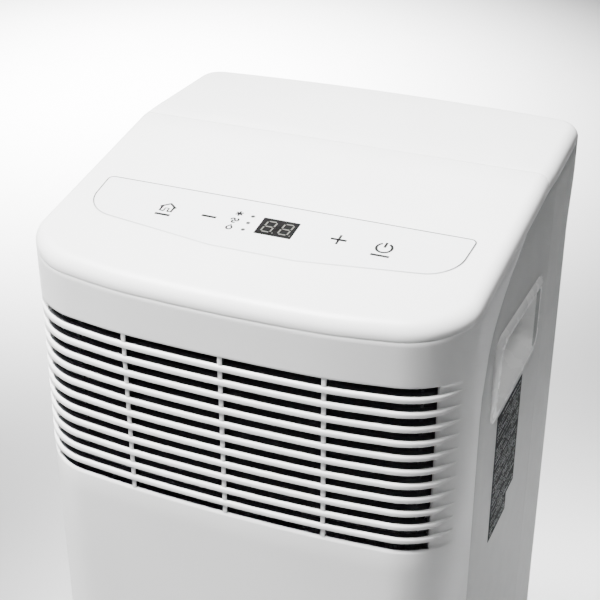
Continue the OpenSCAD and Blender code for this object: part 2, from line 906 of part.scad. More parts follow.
front_panel();
side_panel(1);  // side_panel_right
side_panel(-1);  // side_panel_left
rear_housing();
control_lid();
rear_top_cap();
base_pan();
divider_tray();
outlet_guard();
handle_cup(1);  // handle_cup_right
handle_cup(-1);  // handle_cup_left
rating_label();
housing_screws();
control_overlay();
display_window();
led(1);  // led_cool
led(0);  // led_fan
led(-1);  // led_dry
control_board();
control_key(0);  // key_mode
control_key(1);  // key_minus
control_key(2);  // key_plus
control_key(3);  // key_power
filter_frame();
filter_mesh();
lower_intake_grille();
exhaust_collar();
cord_gland();
drain_plug(drain_low);  // drain_plug_lower
drain_plug(drain_high);  // drain_plug_upper
evaporator_coil();
upper_scroll();
blower_wheel(upper_drum_y + 6, upper_fan_z);  // upper_blower_wheel
fan_motor(upper_drum_y - 0.1, upper_fan_z);  // upper_motor
motor_shaft(upper_drum_y - 0.1, upper_fan_z);  // upper_motor_shaft
condenser_coil();
lower_scroll();
blower_wheel(lower_drum_y + 6, lower_fan_z);  // lower_blower_wheel
fan_motor(lower_drum_y - 0.1, lower_fan_z);  // lower_motor
motor_shaft(lower_drum_y - 0.1, lower_fan_z);  // lower_motor_shaft
compressor();
compressor_grommets();
accumulator();
discharge_pipe();
suction_pipe();
capillary_tube();
electrical_box();
run_capacitor();
float_stem();
float_ring();
splash_motor();
splash_wheel();
caster_fork(-caster_x, caster_front_y);  // caster_fork_front_left
caster_fork(caster_x, caster_front_y);  // caster_fork_front_right
caster_fork(-caster_x, caster_rear_y);  // caster_fork_rear_left
caster_fork(caster_x, caster_rear_y);  // caster_fork_rear_right
caster_wheel(-caster_x, caster_front_y);  // caster_wheel_front_left
caster_wheel(caster_x, caster_front_y);  // caster_wheel_front_right
caster_wheel(-caster_x, caster_rear_y);  // caster_wheel_rear_left
caster_wheel(caster_x, caster_rear_y);  // caster_wheel_rear_right
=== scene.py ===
"""Looks of a compact portable air conditioner with a drying mode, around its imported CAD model."""

import math

import bmesh
import bpy
from mathutils import Matrix, Vector
from mathutils.geometry import convex_hull_2d


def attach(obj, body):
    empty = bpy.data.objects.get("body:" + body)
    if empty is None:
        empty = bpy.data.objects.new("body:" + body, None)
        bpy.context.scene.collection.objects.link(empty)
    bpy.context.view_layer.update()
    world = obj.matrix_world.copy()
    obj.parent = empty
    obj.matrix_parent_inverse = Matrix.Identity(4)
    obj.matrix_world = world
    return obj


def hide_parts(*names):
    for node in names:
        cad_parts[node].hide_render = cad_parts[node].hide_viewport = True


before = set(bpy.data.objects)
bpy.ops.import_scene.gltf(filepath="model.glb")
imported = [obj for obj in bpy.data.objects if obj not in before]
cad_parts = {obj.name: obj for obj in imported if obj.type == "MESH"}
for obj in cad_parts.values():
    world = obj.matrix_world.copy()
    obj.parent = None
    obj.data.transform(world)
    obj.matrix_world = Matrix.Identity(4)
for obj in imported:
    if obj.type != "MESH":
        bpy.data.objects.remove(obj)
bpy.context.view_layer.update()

MM = 0.001

# Cabinet sizes in millimetres, the same as the CAD's.
DEPTH = 304.0
TOP_Z = 630.0
FRONT_Y = -154.7
REAR_Y = FRONT_Y + DEPTH
SIDE_HALF = 150.2
FRONT_HALF = SIDE_HALF - 3
REAR_HALF = SIDE_HALF - 3.2
FRONT_R = 44.0
REAR_R = 18.0
FRONT_BOW = 4.4
REAR_BOW = 6.3
END_ANGLE = math.radians(5)
BEND_Y = FRONT_Y + 207
CORNER_X = FRONT_HALF - FRONT_R
CORNER_Y = FRONT_Y + FRONT_BOW + FRONT_R * math.cos(END_ANGLE)
REAR_X = REAR_HALF - REAR_R
REAR_CORNER_Y = REAR_Y - REAR_BOW - REAR_R * math.cos(END_ANGLE)
TAPER = math.atan((SIDE_HALF - FRONT_HALF) / (BEND_Y - CORNER_Y))
WALL = 2.5
SEAM = 0.5

# Sloping top.
CREASE_Y = FRONT_Y + 189
LID_SLOPE = math.radians(7.46)
CAP_SLOPE = math.radians(-1)
RIM_R = 9.0
SKIRT = 11.0
LID_GAP = 0.1
FLARE = 1.5
FLARE_FROM = 545.0
FLARE_TO = 600.0

# Outlet grille.
GRILLE_Z = 448.0
GRILLE_H = 117.0
SLOTS = 12
SLOT_HALF = 132.0
SLAT_H = 4.1
SLOT_PITCH = (GRILLE_H + SLAT_H) / SLOTS
LIP_H = 2.4
LIP_DEPTH = 1.4
TIP_HALF = 142.0
RECESS_END = 145.0
RECESS_DEPTH = 1.3
RIB_PITCH = 66.4
RIB_W = 3.0
RIB_CHAMFER = 0.5
RIB_X = (-RIB_PITCH, 0.0, RIB_PITCH)
GUARD_IN = 1.6
GUARD_OUT = 5.6
GUARD_T = 1.4
GUARD_DROP = 0.2
GUARD_UPRIGHT = ((-0.7, 2.9), (0.7, 2.9), (0.7, 5.4), (-0.7, 5.4))

# How far the front's upper corners stand back, and where that starts and how wide it spreads.
SET_BACK = 4.6
SET_BACK_X = 60
SET_BACK_WIDE = 75
SET_BACK_Y = -140
SET_BACK_LONG = 34
SET_BACK_Z = 425
SET_BACK_HIGH = 140

# Front seam on the sides.
SHELL_FOOT = 34.0
LEVEL_TOP = 575.0
SEAM_Y = FRONT_Y + 56
ARC_R = 86.0
ARC_Z = 523.0
SEAM_END = SEAM_Y + 0.93 * ARC_R
SIDE_SPLIT_Y = -5.0
BEND_GAP = 0.12
UPPER_LEVELS = [490.0, 505.0, ARC_Z, 532.0, 541.0, 548.0, 556.0, 565.0]

# Handles.
HANDLE_Y = FRONT_Y + 138
HANDLE_Z = 531.0
HANDLE_L = 116.0
HANDLE_H = 66.0
HANDLE_R = 14.0
HANDLE_LIP = 3.0
HANDLE_DROP = 6.5
HANDLE_DEPTH = 25.0

# Controls on the lid.
FILM_Y = FRONT_Y + 75
PANEL_Y = FRONT_Y + 77.8
FILM_RISE = 0.22
INK_RISE = 0.30
HOUSE_X = -71.6
MINUS_X = -41.8
PLUS_X = 46.1
POWER_X = 75.6
GLYPH_LINE = 1.3
SIGN_LINE = 1.65
LED_X = -14.9
LED_PITCH = 7.8
WINDOW_X = 5.0
WINDOW_W = 25.0
WINDOW_D = 18.6
FIGURE_X = (-8.6, 2.9)
FIGURE_W = 6.2
FIGURE_H = 11.4
FIGURE_LEAN = 0.9

# Rating label.
LABEL_Y = FRONT_Y + 131
LABEL_Z = 448

FRONT, FRONT_CORNER, SIDE, STRIP, REAR_CORNER, REAR, SEAM_ZONE = range(7)


# ---------------------------------------------------------------- shapes


def lerp(a, b, t):
    return a + (b - a) * t


def smooth_step(t):
    t = min(1.0, max(0.0, t))
    return t * t * (3 - 2 * t)


def outline(part, t, inset, flare):
    """Point on one of the six stretches of the right half of the cabinet's plan, front to back."""
    if part == FRONT:
        end_x = CORNER_X + (FRONT_R - inset) * math.sin(END_ANGLE)
        return end_x * t, FRONT_Y + inset + FRONT_BOW * t * t
    if part == FRONT_CORNER:
        angle = (END_ANGLE - math.pi / 2) * (1 - t)
        r = FRONT_R - inset
        return CORNER_X + r * math.cos(angle), CORNER_Y + r * math.sin(angle)
    if part == SIDE:
        return lerp(FRONT_HALF, SIDE_HALF + flare / 4, t) - inset, lerp(CORNER_Y, BEND_Y, t)
    if part == STRIP:
        return (
            lerp(SIDE_HALF + flare / 4, REAR_HALF + flare, t) - inset,
            lerp(BEND_Y, REAR_CORNER_Y, t),
        )
    if part == REAR_CORNER:
        angle = (math.pi / 2 - END_ANGLE) * t
        r = REAR_R - inset
        return REAR_X + flare + r * math.cos(angle), REAR_CORNER_Y + r * math.sin(angle)
    end_x = REAR_X + flare + (REAR_R - inset) * math.sin(END_ANGLE)
    return end_x * (1 - t), REAR_Y - inset - REAR_BOW * (1 - t) ** 2


def set_back(x, y, z):
    """How much further back the front stands towards its upper corners."""
    across = smooth_step((abs(x) - SET_BACK_X) / SET_BACK_WIDE)
    round_the_corner = 1 - smooth_step((y - SET_BACK_Y) / SET_BACK_LONG)
    upwards = min(1.0, max(0.0, (z - SET_BACK_Z) / SET_BACK_HIGH))
    return SET_BACK * across * round_the_corner * upwards


def skin(part, t, z, inset=0.0, flare=0.0):
    """A point of the cabinet's skin at a height, with the front set back."""
    x, y = outline(part, t, inset, flare)
    if part in (FRONT, FRONT_CORNER):
        y += set_back(x, y - inset, z)
    return x, y


def side_t(y):
    return (y - CORNER_Y) / (BEND_Y - CORNER_Y)


def corner_t(x):
    """Place in the front corner's arc of the point with that x."""
    span = math.pi / 2 - END_ANGLE
    return (span - math.acos((x - CORNER_X) / FRONT_R)) / span


def front_column(x):
    """Stretch and place of the point of the front with that x."""
    end_x = CORNER_X + FRONT_R * math.sin(END_ANGLE)
    return (FRONT, x / end_x) if x <= end_x else (FRONT_CORNER, corner_t(x))


def lid_z(y):
    return TOP_Z + (y - CREASE_Y) * math.tan(LID_SLOPE)


def cap_z(y):
    return TOP_Z + (y - CREASE_Y) * math.tan(CAP_SLOPE)


def top_edge(y):
    """Top of the front panel and the rear housing, just under the skirt of the lid."""
    return (lid_z(y) if y < CREASE_Y else cap_z(y)) - SKIRT - LID_GAP


def flare_at(z):
    return FLARE * smooth_step((z - FLARE_FROM) / (FLARE_TO - FLARE_FROM))


def seam_line(z, gap=0.0):
    """Depth of the seam between the front panel and the rear housing at a height."""
    if z < ARC_Z:
        return SEAM_Y + gap
    reach = math.sqrt(max(0.0, (ARC_R - gap) ** 2 - (z - ARC_Z) ** 2))
    return min(SEAM_Y + ARC_R - reach, SEAM_END + gap)


def seam_top(gap=0.0):
    z = LEVEL_TOP
    for _ in range(40):
        z = lerp(z, top_edge(seam_line(z, gap)), 0.5)
    return z


def steps(a, b, n):
    """n numbers after a, up to and with b."""
    return [lerp(a, b, (i + 1) / n) for i in range(n)]


def mirrored(right):
    """Columns all the way round: the mirror image of the right ones, the middle, and the right ones."""
    left = [(-1, part, t) for part, t in reversed(right)]
    return left + [(1, FRONT, 0.0)] + [(1, part, t) for part, t in right]


def mirrored_behind(right):
    """Columns round the back: the right ones to the middle, which is their last, and their mirror image."""
    return [(1, part, t) for part, t in right] + [(-1, part, t) for part, t in reversed(right[:-1])]


# ---------------------------------------------------------------- mesh tools


def add_mesh(name, points, faces, material, closed=False):
    """A new mesh object from points in millimetres."""
    mesh = bpy.data.meshes.new(name)
    mesh.from_pydata([Vector(p) * MM for p in points], [], faces)
    if closed:
        work = bmesh.new()
        work.from_mesh(mesh)
        bmesh.ops.recalc_face_normals(work, faces=work.faces)
        work.to_mesh(mesh)
        work.free()
    mesh.materials.append(material)
    obj = bpy.data.objects.new(name, mesh)
    bpy.context.scene.collection.objects.link(obj)
    return obj


def grid_faces(columns, rows, skip=None):
    """Quads between neighbouring columns and rows, with the points stored column by column."""
    faces = []
    for c in range(columns - 1):
        for r in range(rows - 1):
            if skip and skip(c, r):
                continue
            a = c * rows + r
            faces.append((a, a + rows, a + rows + 1, a + 1))
    return faces


def thicken(obj):
    """Gives a skin the thickness of the wall, inwards."""
    mod = obj.modifiers.new("thickness", "SOLIDIFY")
    mod.thickness = WALL * MM
    mod.offset = -1.0
    mod.use_even_offset = True


def bevel(obj, width, angle=35.0):
    """Rounds the edges sharper than the angle."""
    mod = obj.modifiers.new("edges", "BEVEL")
    mod.width = width * MM
    mod.segments = 2
    mod.limit_method = "ANGLE"
    mod.angle_limit = math.radians(angle)


def bake(obj, smooth_angle=32.0):
    """Applies the modifiers and shades the result smooth, except at edges sharper than the angle."""
    graph = bpy.context.evaluated_depsgraph_get()
    mesh = bpy.data.meshes.new_from_object(obj.evaluated_get(graph))
    obj.modifiers.clear()
    obj.data = mesh
    mesh.shade_smooth()
    mesh.set_sharp_from_angle(angle=math.radians(smooth_angle))
    return obj


def cut(obj, cutters):
    """Takes closed cutters out of a closed piece, and deletes them."""
    for cutter in cutters:
        mod = obj.modifiers.new("cut", "BOOLEAN")
        mod.operation = "DIFFERENCE"
        mod.solver = "MANIFOLD"
        mod.object = cutter
    bake(obj)
    for cutter in cutters:
        bpy.data.objects.remove(cutter)


def loft(name, loops, material, cap_first=False):
    """Skin over closed loops with the same number of points, closed over the last one."""
    n = len(loops[0])
    points = [p for loop in loops for p in loop]
    faces = []
    for k in range(len(loops) - 1):
        for i in range(n):
            j = (i + 1) % n
            faces.append((k * n + i, k * n + j, (k + 1) * n + j, (k + 1) * n + i))
    if cap_first:
        faces.append(tuple(range(n - 1, -1, -1)))
    last = (len(loops) - 1) * n
    faces.append(tuple(range(last, last + n)))
    return add_mesh(name, points, faces, material, closed=True)


def rounded_loop(width, height, r, shift=0.0, per_corner=8):
    """Points of a rounded rectangle, anticlockwise."""
    out = []
    for cx, cy, a0 in ((1, -1, -90), (1, 1, 0), (-1, 1, 90), (-1, -1, 180)):
        for k in range(per_corner + 1):
            a = math.radians(a0 + 90 * k / per_corner)
            x = cx * (width / 2 - r) + r * math.cos(a)
            y = cy * (height / 2 - r) + r * math.sin(a) + shift
            out.append((x, y))
    return out


def rear_cutter(x, z, loop):
    """A closed bar through the back, with that outline in X and Z."""
    loops = [[(x + p[0], y, z + p[1]) for p in loop] for y in (REAR_Y - 30, REAR_Y + 10)]
    return loft("cutter", loops, MAT["housing"], cap_first=True)


def circle_loop(r, n=64):
    return [(r * math.cos(2 * math.pi * i / n), r * math.sin(2 * math.pi * i / n)) for i in range(n)]


def on_side(sign, y, z):
    """Matrix of a frame on a cabinet side: X points to the back, Y up and Z straight out."""
    x = SIDE_HALF - (BEND_Y - y) * math.tan(TAPER)
    out = Vector((math.cos(TAPER), -math.sin(TAPER), 0))
    along = Vector((math.sin(TAPER), math.cos(TAPER), 0))
    if sign < 0:
        out.x = -out.x
        along.x = -along.x
    m = Matrix.Identity(4)
    m.col[0][:3] = along
    m.col[1][:3] = (0, 0, 1)
    m.col[2][:3] = out
    m.col[3][:3] = (sign * x, y, z)
    return m


def on_lid(x, y):
    """Matrix of a frame on the sloping lid: X right, Y up the slope and Z out of it."""
    return Matrix.Translation((x, y, lid_z(y))) @ Matrix.Rotation(LID_SLOPE, 4, "X")


def placed(matrix, points):
    return [tuple(matrix @ Vector(p)) for p in points]


def show(obj, material_slot, *stands_for, body="cabinet"):
    """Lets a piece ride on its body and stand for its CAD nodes."""
    if stands_for:
        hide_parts(*stands_for)
    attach(obj, body)
    return obj


# ---------------------------------------------------------------- materials


def new_material(name):
    material = bpy.data.materials.new(name)
    material.use_nodes = True
    tree = material.node_tree
    return material, tree, tree.nodes["Principled BSDF"]


def scaled(colour, share):
    return tuple(c * share for c in colour)


def settle(node, **values):
    """Sets inputs of a node by name, with each space of the name written as an underscore."""
    for name, value in values.items():
        node.inputs[name.replace("_", " ")].default_value = value
    return node


def add_node(tree, kind, **values):
    return settle(tree.nodes.new("ShaderNode" + kind), **values)


def object_coords(tree):
    return add_node(tree, "TexCoord").outputs["Object"]


def noise(tree, scale, detail):
    node = add_node(tree, "TexNoise", Scale=scale, Detail=detail)
    tree.links.new(object_coords(tree), node.inputs["Vector"])
    return node.outputs["Fac"]


def remap(tree, value, low, high, from_low=0.3, from_high=0.7):
    node = add_node(tree, "MapRange", From_Min=from_low, From_Max=from_high, To_Min=low, To_Max=high)
    tree.links.new(value, node.inputs["Value"])
    return node.outputs["Result"]


def mix_colours(tree, factor, first, second):
    node = add_node(tree, "Mix")
    node.data_type = "RGBA"
    for socket, colour in ((node.inputs[6], first), (node.inputs[7], second)):
        if isinstance(colour, tuple):
            socket.default_value = (*colour, 1.0)
        else:
            tree.links.new(colour, socket)
    tree.links.new(factor, node.inputs[0])
    return node.outputs[2]


def add_bump(tree, shader, height, strength, depth_mm, below=None):
    node = add_node(tree, "Bump", Strength=strength, Distance=depth_mm * MM)
    tree.links.new(height, node.inputs["Height"])
    if below:
        tree.links.new(below, node.inputs["Normal"])
    tree.links.new(node.outputs["Normal"], shader.inputs["Normal"])
    return node.outputs["Normal"]


def crevice_painted_shade(tree, colour, dark, reach_mm, amount):
    """The colour, a little darker where the surface is tucked into a corner: painted shade."""
    node = add_node(tree, "AmbientOcclusion", Distance=reach_mm * MM)
    node.samples = 4
    factor = remap(tree, node.outputs["AO"], amount, 0.0, 0.2, 0.9)
    return mix_colours(tree, factor, colour, dark)


def plastic(name, colour, roughness, grain=900.0, relief=0.04, coat=0.0):
    """Moulded plastic: faint flow marks in its colour, painted shade in its corners, uneven gloss and a
    fine skin.
    """
    material, tree, shader = new_material(name)
    flow = remap(tree, noise(tree, 14.0, 3.0), 0.0, 1.0)
    tone = mix_colours(tree, flow, colour, scaled(colour, 0.97))
    # painted shade: the colour at under half its brightness, laid into corners by ambient occlusion
    corner_shade_colour = scaled(colour, 0.45)
    tree.links.new(crevice_painted_shade(tree, tone, corner_shade_colour, 6.0, 0.35), shader.inputs["Base Color"])
    gloss = remap(tree, noise(tree, 60.0, 4.0), roughness - 0.04, roughness + 0.05)
    tree.links.new(gloss, shader.inputs["Roughness"])
    settle(shader, Coat_Weight=coat, Coat_Roughness=0.12, IOR=1.5)
    peel = add_bump(tree, shader, noise(tree, 110.0, 1.0), 0.10, 0.05)
    add_bump(tree, shader, noise(tree, grain * 2, 2.0), 0.25, relief, peel)
    return material


def metal(name, colour, roughness, streak=(1.0, 1.0, 1.0)):
    """Metal with streaks or spots of uneven gloss."""
    material, tree, shader = new_material(name)
    mapping = add_node(tree, "Mapping", Scale=streak)
    tree.links.new(object_coords(tree), mapping.inputs["Vector"])
    grain = add_node(tree, "TexNoise", Scale=300.0, Detail=5.0)
    tree.links.new(mapping.outputs["Vector"], grain.inputs["Vector"])
    spots = remap(tree, noise(tree, 35.0, 4.0), 0.0, 1.0)
    tone = mix_colours(tree, spots, colour, scaled(colour, 0.72))
    tree.links.new(tone, shader.inputs["Base Color"])
    settle(shader, Metallic=1.0)
    tree.links.new(
        remap(tree, grain.outputs["Fac"], roughness - 0.1, roughness + 0.14),
        shader.inputs["Roughness"],
    )
    add_bump(tree, shader, grain.outputs["Fac"], 0.3, 0.03)
    return material


def stripes(tree, axis, pitch_mm, sharp=0.25):
    """Bands across an axis, 0 to 1, repeating at the pitch."""
    wave = add_node(tree, "TexWave", Scale=math.pi / 10 / (pitch_mm * MM))
    wave.bands_direction = axis
    wave.wave_profile = "SIN"
    tree.links.new(object_coords(tree), wave.inputs["Vector"])
    return remap(tree, wave.outputs["Fac"], 0.0, 1.0, 0.5 - sharp, 0.5 + sharp)


def combine(tree, operation, a, b):
    node = add_node(tree, "Math")
    node.operation = operation
    tree.links.new(a, node.inputs[0])
    tree.links.new(b, node.inputs[1])
    return node.outputs["Value"]


def finned(name):
    """Fin pack of a heat exchanger: thin aluminium fins a little over a millimetre apart, with painted
    shade between them and in patches.
    """
    material, tree, shader = new_material(name)
    fins = stripes(tree, "X", 1.4)
    # painted shade in patches, where bent fins would catch less light
    bent_patch_shade = remap(tree, noise(tree, 45.0, 3.0), 0.75, 1.0)
    lit = combine(tree, "MULTIPLY", fins, bent_patch_shade)
    # painted shade: the gaps between the fins near black
    tone = mix_colours(tree, lit, (0.10, 0.11, 0.12), (0.74, 0.76, 0.78))
    tree.links.new(tone, shader.inputs["Base Color"])
    settle(shader, Metallic=0.9, Roughness=0.38)
    add_bump(tree, shader, fins, 0.9, 0.6)
    return material


def woven(name, colour, pitch_mm):
    """Fine square mesh of plastic thread, with painted shade in the openings between the threads."""
    material, tree, shader = new_material(name)
    across = stripes(tree, "X", pitch_mm, 0.2)
    upward = stripes(tree, "Z", pitch_mm, 0.2)
    thread = combine(tree, "MAXIMUM", across, upward)
    # painted shade: the openings between the threads near black
    tone = mix_colours(tree, thread, scaled(colour, 0.12), colour)
    tree.links.new(tone, shader.inputs["Base Color"])
    settle(shader, Roughness=0.6)
    add_bump(tree, shader, thread, 0.8, 0.4)
    return material


def foamed(name, colour):
    """Moulded bead foam, with the beads' outlines faintly showing."""
    material, tree, shader = new_material(name)
    cells = add_node(tree, "TexVoronoi", Scale=260.0)
    cells.feature = "DISTANCE_TO_EDGE"
    tree.links.new(object_coords(tree), cells.inputs["Vector"])
    edge = remap(tree, cells.outputs["Distance"], 0.0, 1.0, 0.0, 0.12)
    tone = mix_colours(tree, edge, scaled(colour, 0.78), colour)
    tree.links.new(tone, shader.inputs["Base Color"])
    settle(shader, Roughness=0.75)
    add_bump(tree, shader, edge, 0.6, 0.35)
    return material


def rubber(name, colour, roughness=0.7):
    """Rubber with a dusty bloom in patches."""
    material, tree, shader = new_material(name)
    bloom = remap(tree, noise(tree, 50.0, 5.0), 0.0, 1.0, 0.45, 0.75)
    tone = mix_colours(tree, bloom, colour, tuple(c * 1.7 + 0.01 for c in colour))
    tree.links.new(tone, shader.inputs["Base Color"])
    tree.links.new(
        remap(tree, noise(tree, 120.0, 3.0), roughness - 0.08, roughness + 0.12),
        shader.inputs["Roughness"],
    )
    add_bump(tree, shader, noise(tree, 1500.0, 2.0), 0.4, 0.05)
    return material


def board(name):
    """Circuit board: solder mask over fine tracks."""
    material, tree, shader = new_material(name)
    tracks = add_node(tree, "TexBrick", Scale=90.0, Mortar_Size=0.05)
    tree.links.new(object_coords(tree), tracks.inputs["Vector"])
    tone = mix_colours(tree, tracks.outputs["Fac"], (0.012, 0.085, 0.035), (0.03, 0.16, 0.06))
    tree.links.new(tone, shader.inputs["Base Color"])
    settle(shader, Roughness=0.35)
    add_bump(tree, shader, tracks.outputs["Fac"], 0.3, 0.04)
    return material


def ink(name, colour, roughness=0.5):
    """Printed ink, slightly uneven in density."""
    material, tree, shader = new_material(name)
    density = remap(tree, noise(tree, 900.0, 2.0), 0.0, 1.0)
    tone = mix_colours(tree, density, colour, scaled(colour, 0.8))
    tree.links.new(tone, shader.inputs["Base Color"])
    settle(shader, Roughness=roughness, Specular_IOR_Level=0.12)
    return material


def fading_groove_shade(name, colour, faint, y_from, y_to):
    """Painted shade that fades between two depths, in millimetres."""
    material, tree, shader = new_material(name)
    split = add_node(tree, "SeparateXYZ")
    tree.links.new(object_coords(tree), split.inputs["Vector"])
    factor = remap(tree, split.outputs["Y"], 0.0, 1.0, y_from * MM, y_to * MM)
    tree.links.new(mix_colours(tree, factor, faint, colour), shader.inputs["Base Color"])
    settle(shader, Roughness=0.6, Specular_IOR_Level=0.2)
    return material


def glass(name, colour, roughness):
    """Dark smoked window with a smooth face and faint cloudiness inside."""
    material, tree, shader = new_material(name)
    cloud = remap(tree, noise(tree, 80.0, 3.0), 0.0, 1.0)
    tone = mix_colours(tree, cloud, colour, scaled(colour, 1.5))
    tree.links.new(tone, shader.inputs["Base Color"])
    settle(shader, Roughness=roughness, Specular_IOR_Level=0.08)
    add_bump(tree, shader, noise(tree, 70.0, 1.0), 0.05, 0.03)
    return material


WHITE = (0.80, 0.80, 0.795)
MAT = {
    "shell": plastic("shell_plastic", WHITE, 0.34, coat=0.15),
    # painted shade: the housing's white plastic darkened to about half, to show the shade on the cabinet's
    # sides
    "housing": plastic("housing_plastic_painted_shade", (0.45, 0.455, 0.45), 0.42, relief=0.06),
    "lid": plastic("lid_plastic", (0.83, 0.83, 0.825), 0.40),
    "slat": plastic("slat_plastic", (0.82, 0.82, 0.815), 0.36),
    # painted light: the handle's white plastic brighter than the shell's, to show the light on its lip
    "handle": plastic("handle_plastic_painted_light", (0.88, 0.88, 0.87), 0.26, coat=0.25),
    "film": plastic("film_satin", (0.79, 0.795, 0.80), 0.34, grain=1600.0, relief=0.02),
    # painted shade of the groove round the film: near black at the back, fading to pale grey along the
    # front
    "film_groove_shade": fading_groove_shade("film_edge", (0.03, 0.031, 0.033), (0.56, 0.565, 0.57), -104, -80),
    "window": glass("window_smoke", (0.007, 0.007, 0.007), 0.25),
    "segment": ink("window_segments", (0.11, 0.108, 0.10)),
    "led_lens": glass("led_lens_dark", (0.02, 0.02, 0.02), 0.3),
    "ink": ink("panel_ink", (0.008, 0.008, 0.008), 0.7),
    "ink_soft": ink("panel_ink_soft", (0.014, 0.014, 0.014), 0.7),
    "key": plastic("key_plastic", (0.62, 0.61, 0.56), 0.4),
    "pcb": board("control_board_mask"),
    "guard": plastic("guard_plastic", (0.045, 0.046, 0.048), 0.45, relief=0.08),
    "label": ink("label_ink", (0.02, 0.02, 0.021), 0.75),
    "label_line": ink("label_lines", (0.42, 0.43, 0.44), 0.45),
    "screw": metal("screw_steel", (0.42, 0.42, 0.43), 0.35),
    "pan": plastic("pan_plastic", (0.055, 0.056, 0.058), 0.5, relief=0.1),
    "tray": foamed("tray_foam", (0.72, 0.73, 0.73)),
    "scroll": foamed("scroll_foam", (0.06, 0.062, 0.065)),
    "mesh": woven("filter_weave", (0.10, 0.11, 0.12), 1.5),
    "coil": finned("coil_fins"),
    "copper": metal("copper_tube", (0.72, 0.36, 0.20), 0.32),
    "wheel_fan": plastic("blower_plastic", (0.05, 0.05, 0.05), 0.5),
    "motor": metal("motor_steel", (0.40, 0.41, 0.42), 0.42),
    "steel": metal("shaft_steel", (0.55, 0.55, 0.56), 0.25, streak=(1.0, 0.05, 1.0)),
    "compressor": plastic("compressor_paint", (0.018, 0.018, 0.02), 0.33, grain=400.0, relief=0.12),
    "rubber": rubber("grommet_rubber", (0.02, 0.02, 0.02)),
    "box": plastic("box_plastic", (0.46, 0.47, 0.48), 0.5, relief=0.08),
    "capacitor": plastic("capacitor_case", (0.56, 0.57, 0.58), 0.36),
    "float": foamed("float_foam", (0.66, 0.67, 0.66)),
    "fork": plastic("fork_plastic", (0.05, 0.05, 0.052), 0.45, relief=0.09),
    "tyre": rubber("wheel_tread", (0.035, 0.035, 0.037), 0.6),
    "plug": rubber("plug_rubber", (0.05, 0.05, 0.05), 0.55),
}


# ---------------------------------------------------------------- shells


def shell_levels(extra):
    """Heights of the rows up to the level top, and the shares of the sloping rows above it."""
    base = [SHELL_FOOT, 46.0, 80.0, 140.0, 200.0, 260.0, 320.0, 380.0, 430.0]
    levels = sorted(set(base + extra + [LEVEL_TOP]))
    return [(z, None) for z in levels] + [(LEVEL_TOP, t) for t in steps(0.0, 1.0, 6)]


def shell_point(column, row, gap, top, inset=0.0):
    """A point of the front panel or the rear housing."""
    sign, part, t = column
    z, share = row
    if part == SEAM_ZONE:
        seam_z = z if share is None else lerp(LEVEL_TOP, top, share)
        edge_y = seam_line(seam_z, gap)
        y = lerp(edge_y, CORNER_Y if gap == 0 else SIDE_SPLIT_Y, t)
        part, t = SIDE, side_t(y)
    y = skin(part, t, LEVEL_TOP)[1]
    if share is not None:
        z = lerp(LEVEL_TOP, top_edge(y), share)
    x, y = skin(part, t, z, inset, flare_at(z))
    return sign * x, y, z


def recess_depth(x, z):
    """Shallow hollow past the ends of the slots, fading into the corner, and the lip under them."""
    if abs(x) < SLOT_HALF - 0.5:
        climb = min(1.0, max(0.0, (z - GRILLE_Z + LIP_H) / LIP_H))
        return LIP_DEPTH * climb**2 if z <= GRILLE_Z else 0.0
    if abs(x) > RECESS_END:
        return 0.0
    fade = 1 - smooth_step((abs(x) - SLOT_HALF) / (RECESS_END - SLOT_HALF))
    low = smooth_step((z - GRILLE_Z + 1.0) / 2.5)
    high = smooth_step((GRILLE_Z + GRILLE_H - z) / 2.5)
    return RECESS_DEPTH * fade * min(low, high)


def front_shell():
    """Front panel, wrapped round both corners to the seams, with the opening of the grille."""
    right = [(FRONT, t) for t in steps(0.0, 1.0, 10)]
    right += [(FRONT_CORNER, t) for t in steps(0.0, corner_t(SLOT_HALF), 6)]
    window_column = len(right)
    right += [(FRONT_CORNER, t) for t in steps(corner_t(SLOT_HALF), corner_t(RECESS_END), 8)]
    right += [(FRONT_CORNER, t) for t in steps(corner_t(RECESS_END), 1.0, 8)]
    right += [(SEAM_ZONE, 1 - t) for t in steps(0.0, 1.0, 6)]
    columns = mirrored(right)
    grille_top = GRILLE_Z + GRILLE_H
    inner = [GRILLE_Z - LIP_H, GRILLE_Z - 1.7, GRILLE_Z - 0.5]
    inner += [GRILLE_Z + 0.8, GRILLE_Z + 1.6, GRILLE_Z + 3, 475.0, 506.0, 538.0]
    inner += [grille_top - 2.5, grille_top - 1.6, grille_top - 0.8, ARC_Z]
    rows = shell_levels([GRILLE_Z - 1, GRILLE_Z, grille_top, grille_top + 1.5] + inner)
    top = seam_top()
    points = []
    for column in columns:
        for row in rows:
            x, _, z = shell_point(column, row, 0.0, top)
            points.append(shell_point(column, row, 0.0, top, recess_depth(x, z)))
    low = rows.index((GRILLE_Z, None))
    high = rows.index((grille_top, None))
    middle = len(right)

    def open_here(c, r):
        return middle - window_column <= c < middle + window_column and low <= r < high

    faces = grid_faces(len(columns), len(rows), open_here)
    obj = add_mesh("front_shell", points, faces, MAT["shell"])
    thicken(obj)
    bevel(obj, 0.15)
    return bake(obj)


SLAT_PROFILE = [
    (1.30, 4.02),
    (0.75, 3.98),
    (0.30, 3.76),
    (-0.10, 3.40),
    (-0.38, 2.95),
    (-0.50, 2.45),
    (-0.47, 1.60),
    (-0.50, 0.75),
    (-0.42, 0.30),
    (-0.15, 0.06),
    (0.30, 0.02),
    (1.30, 0.15),
]


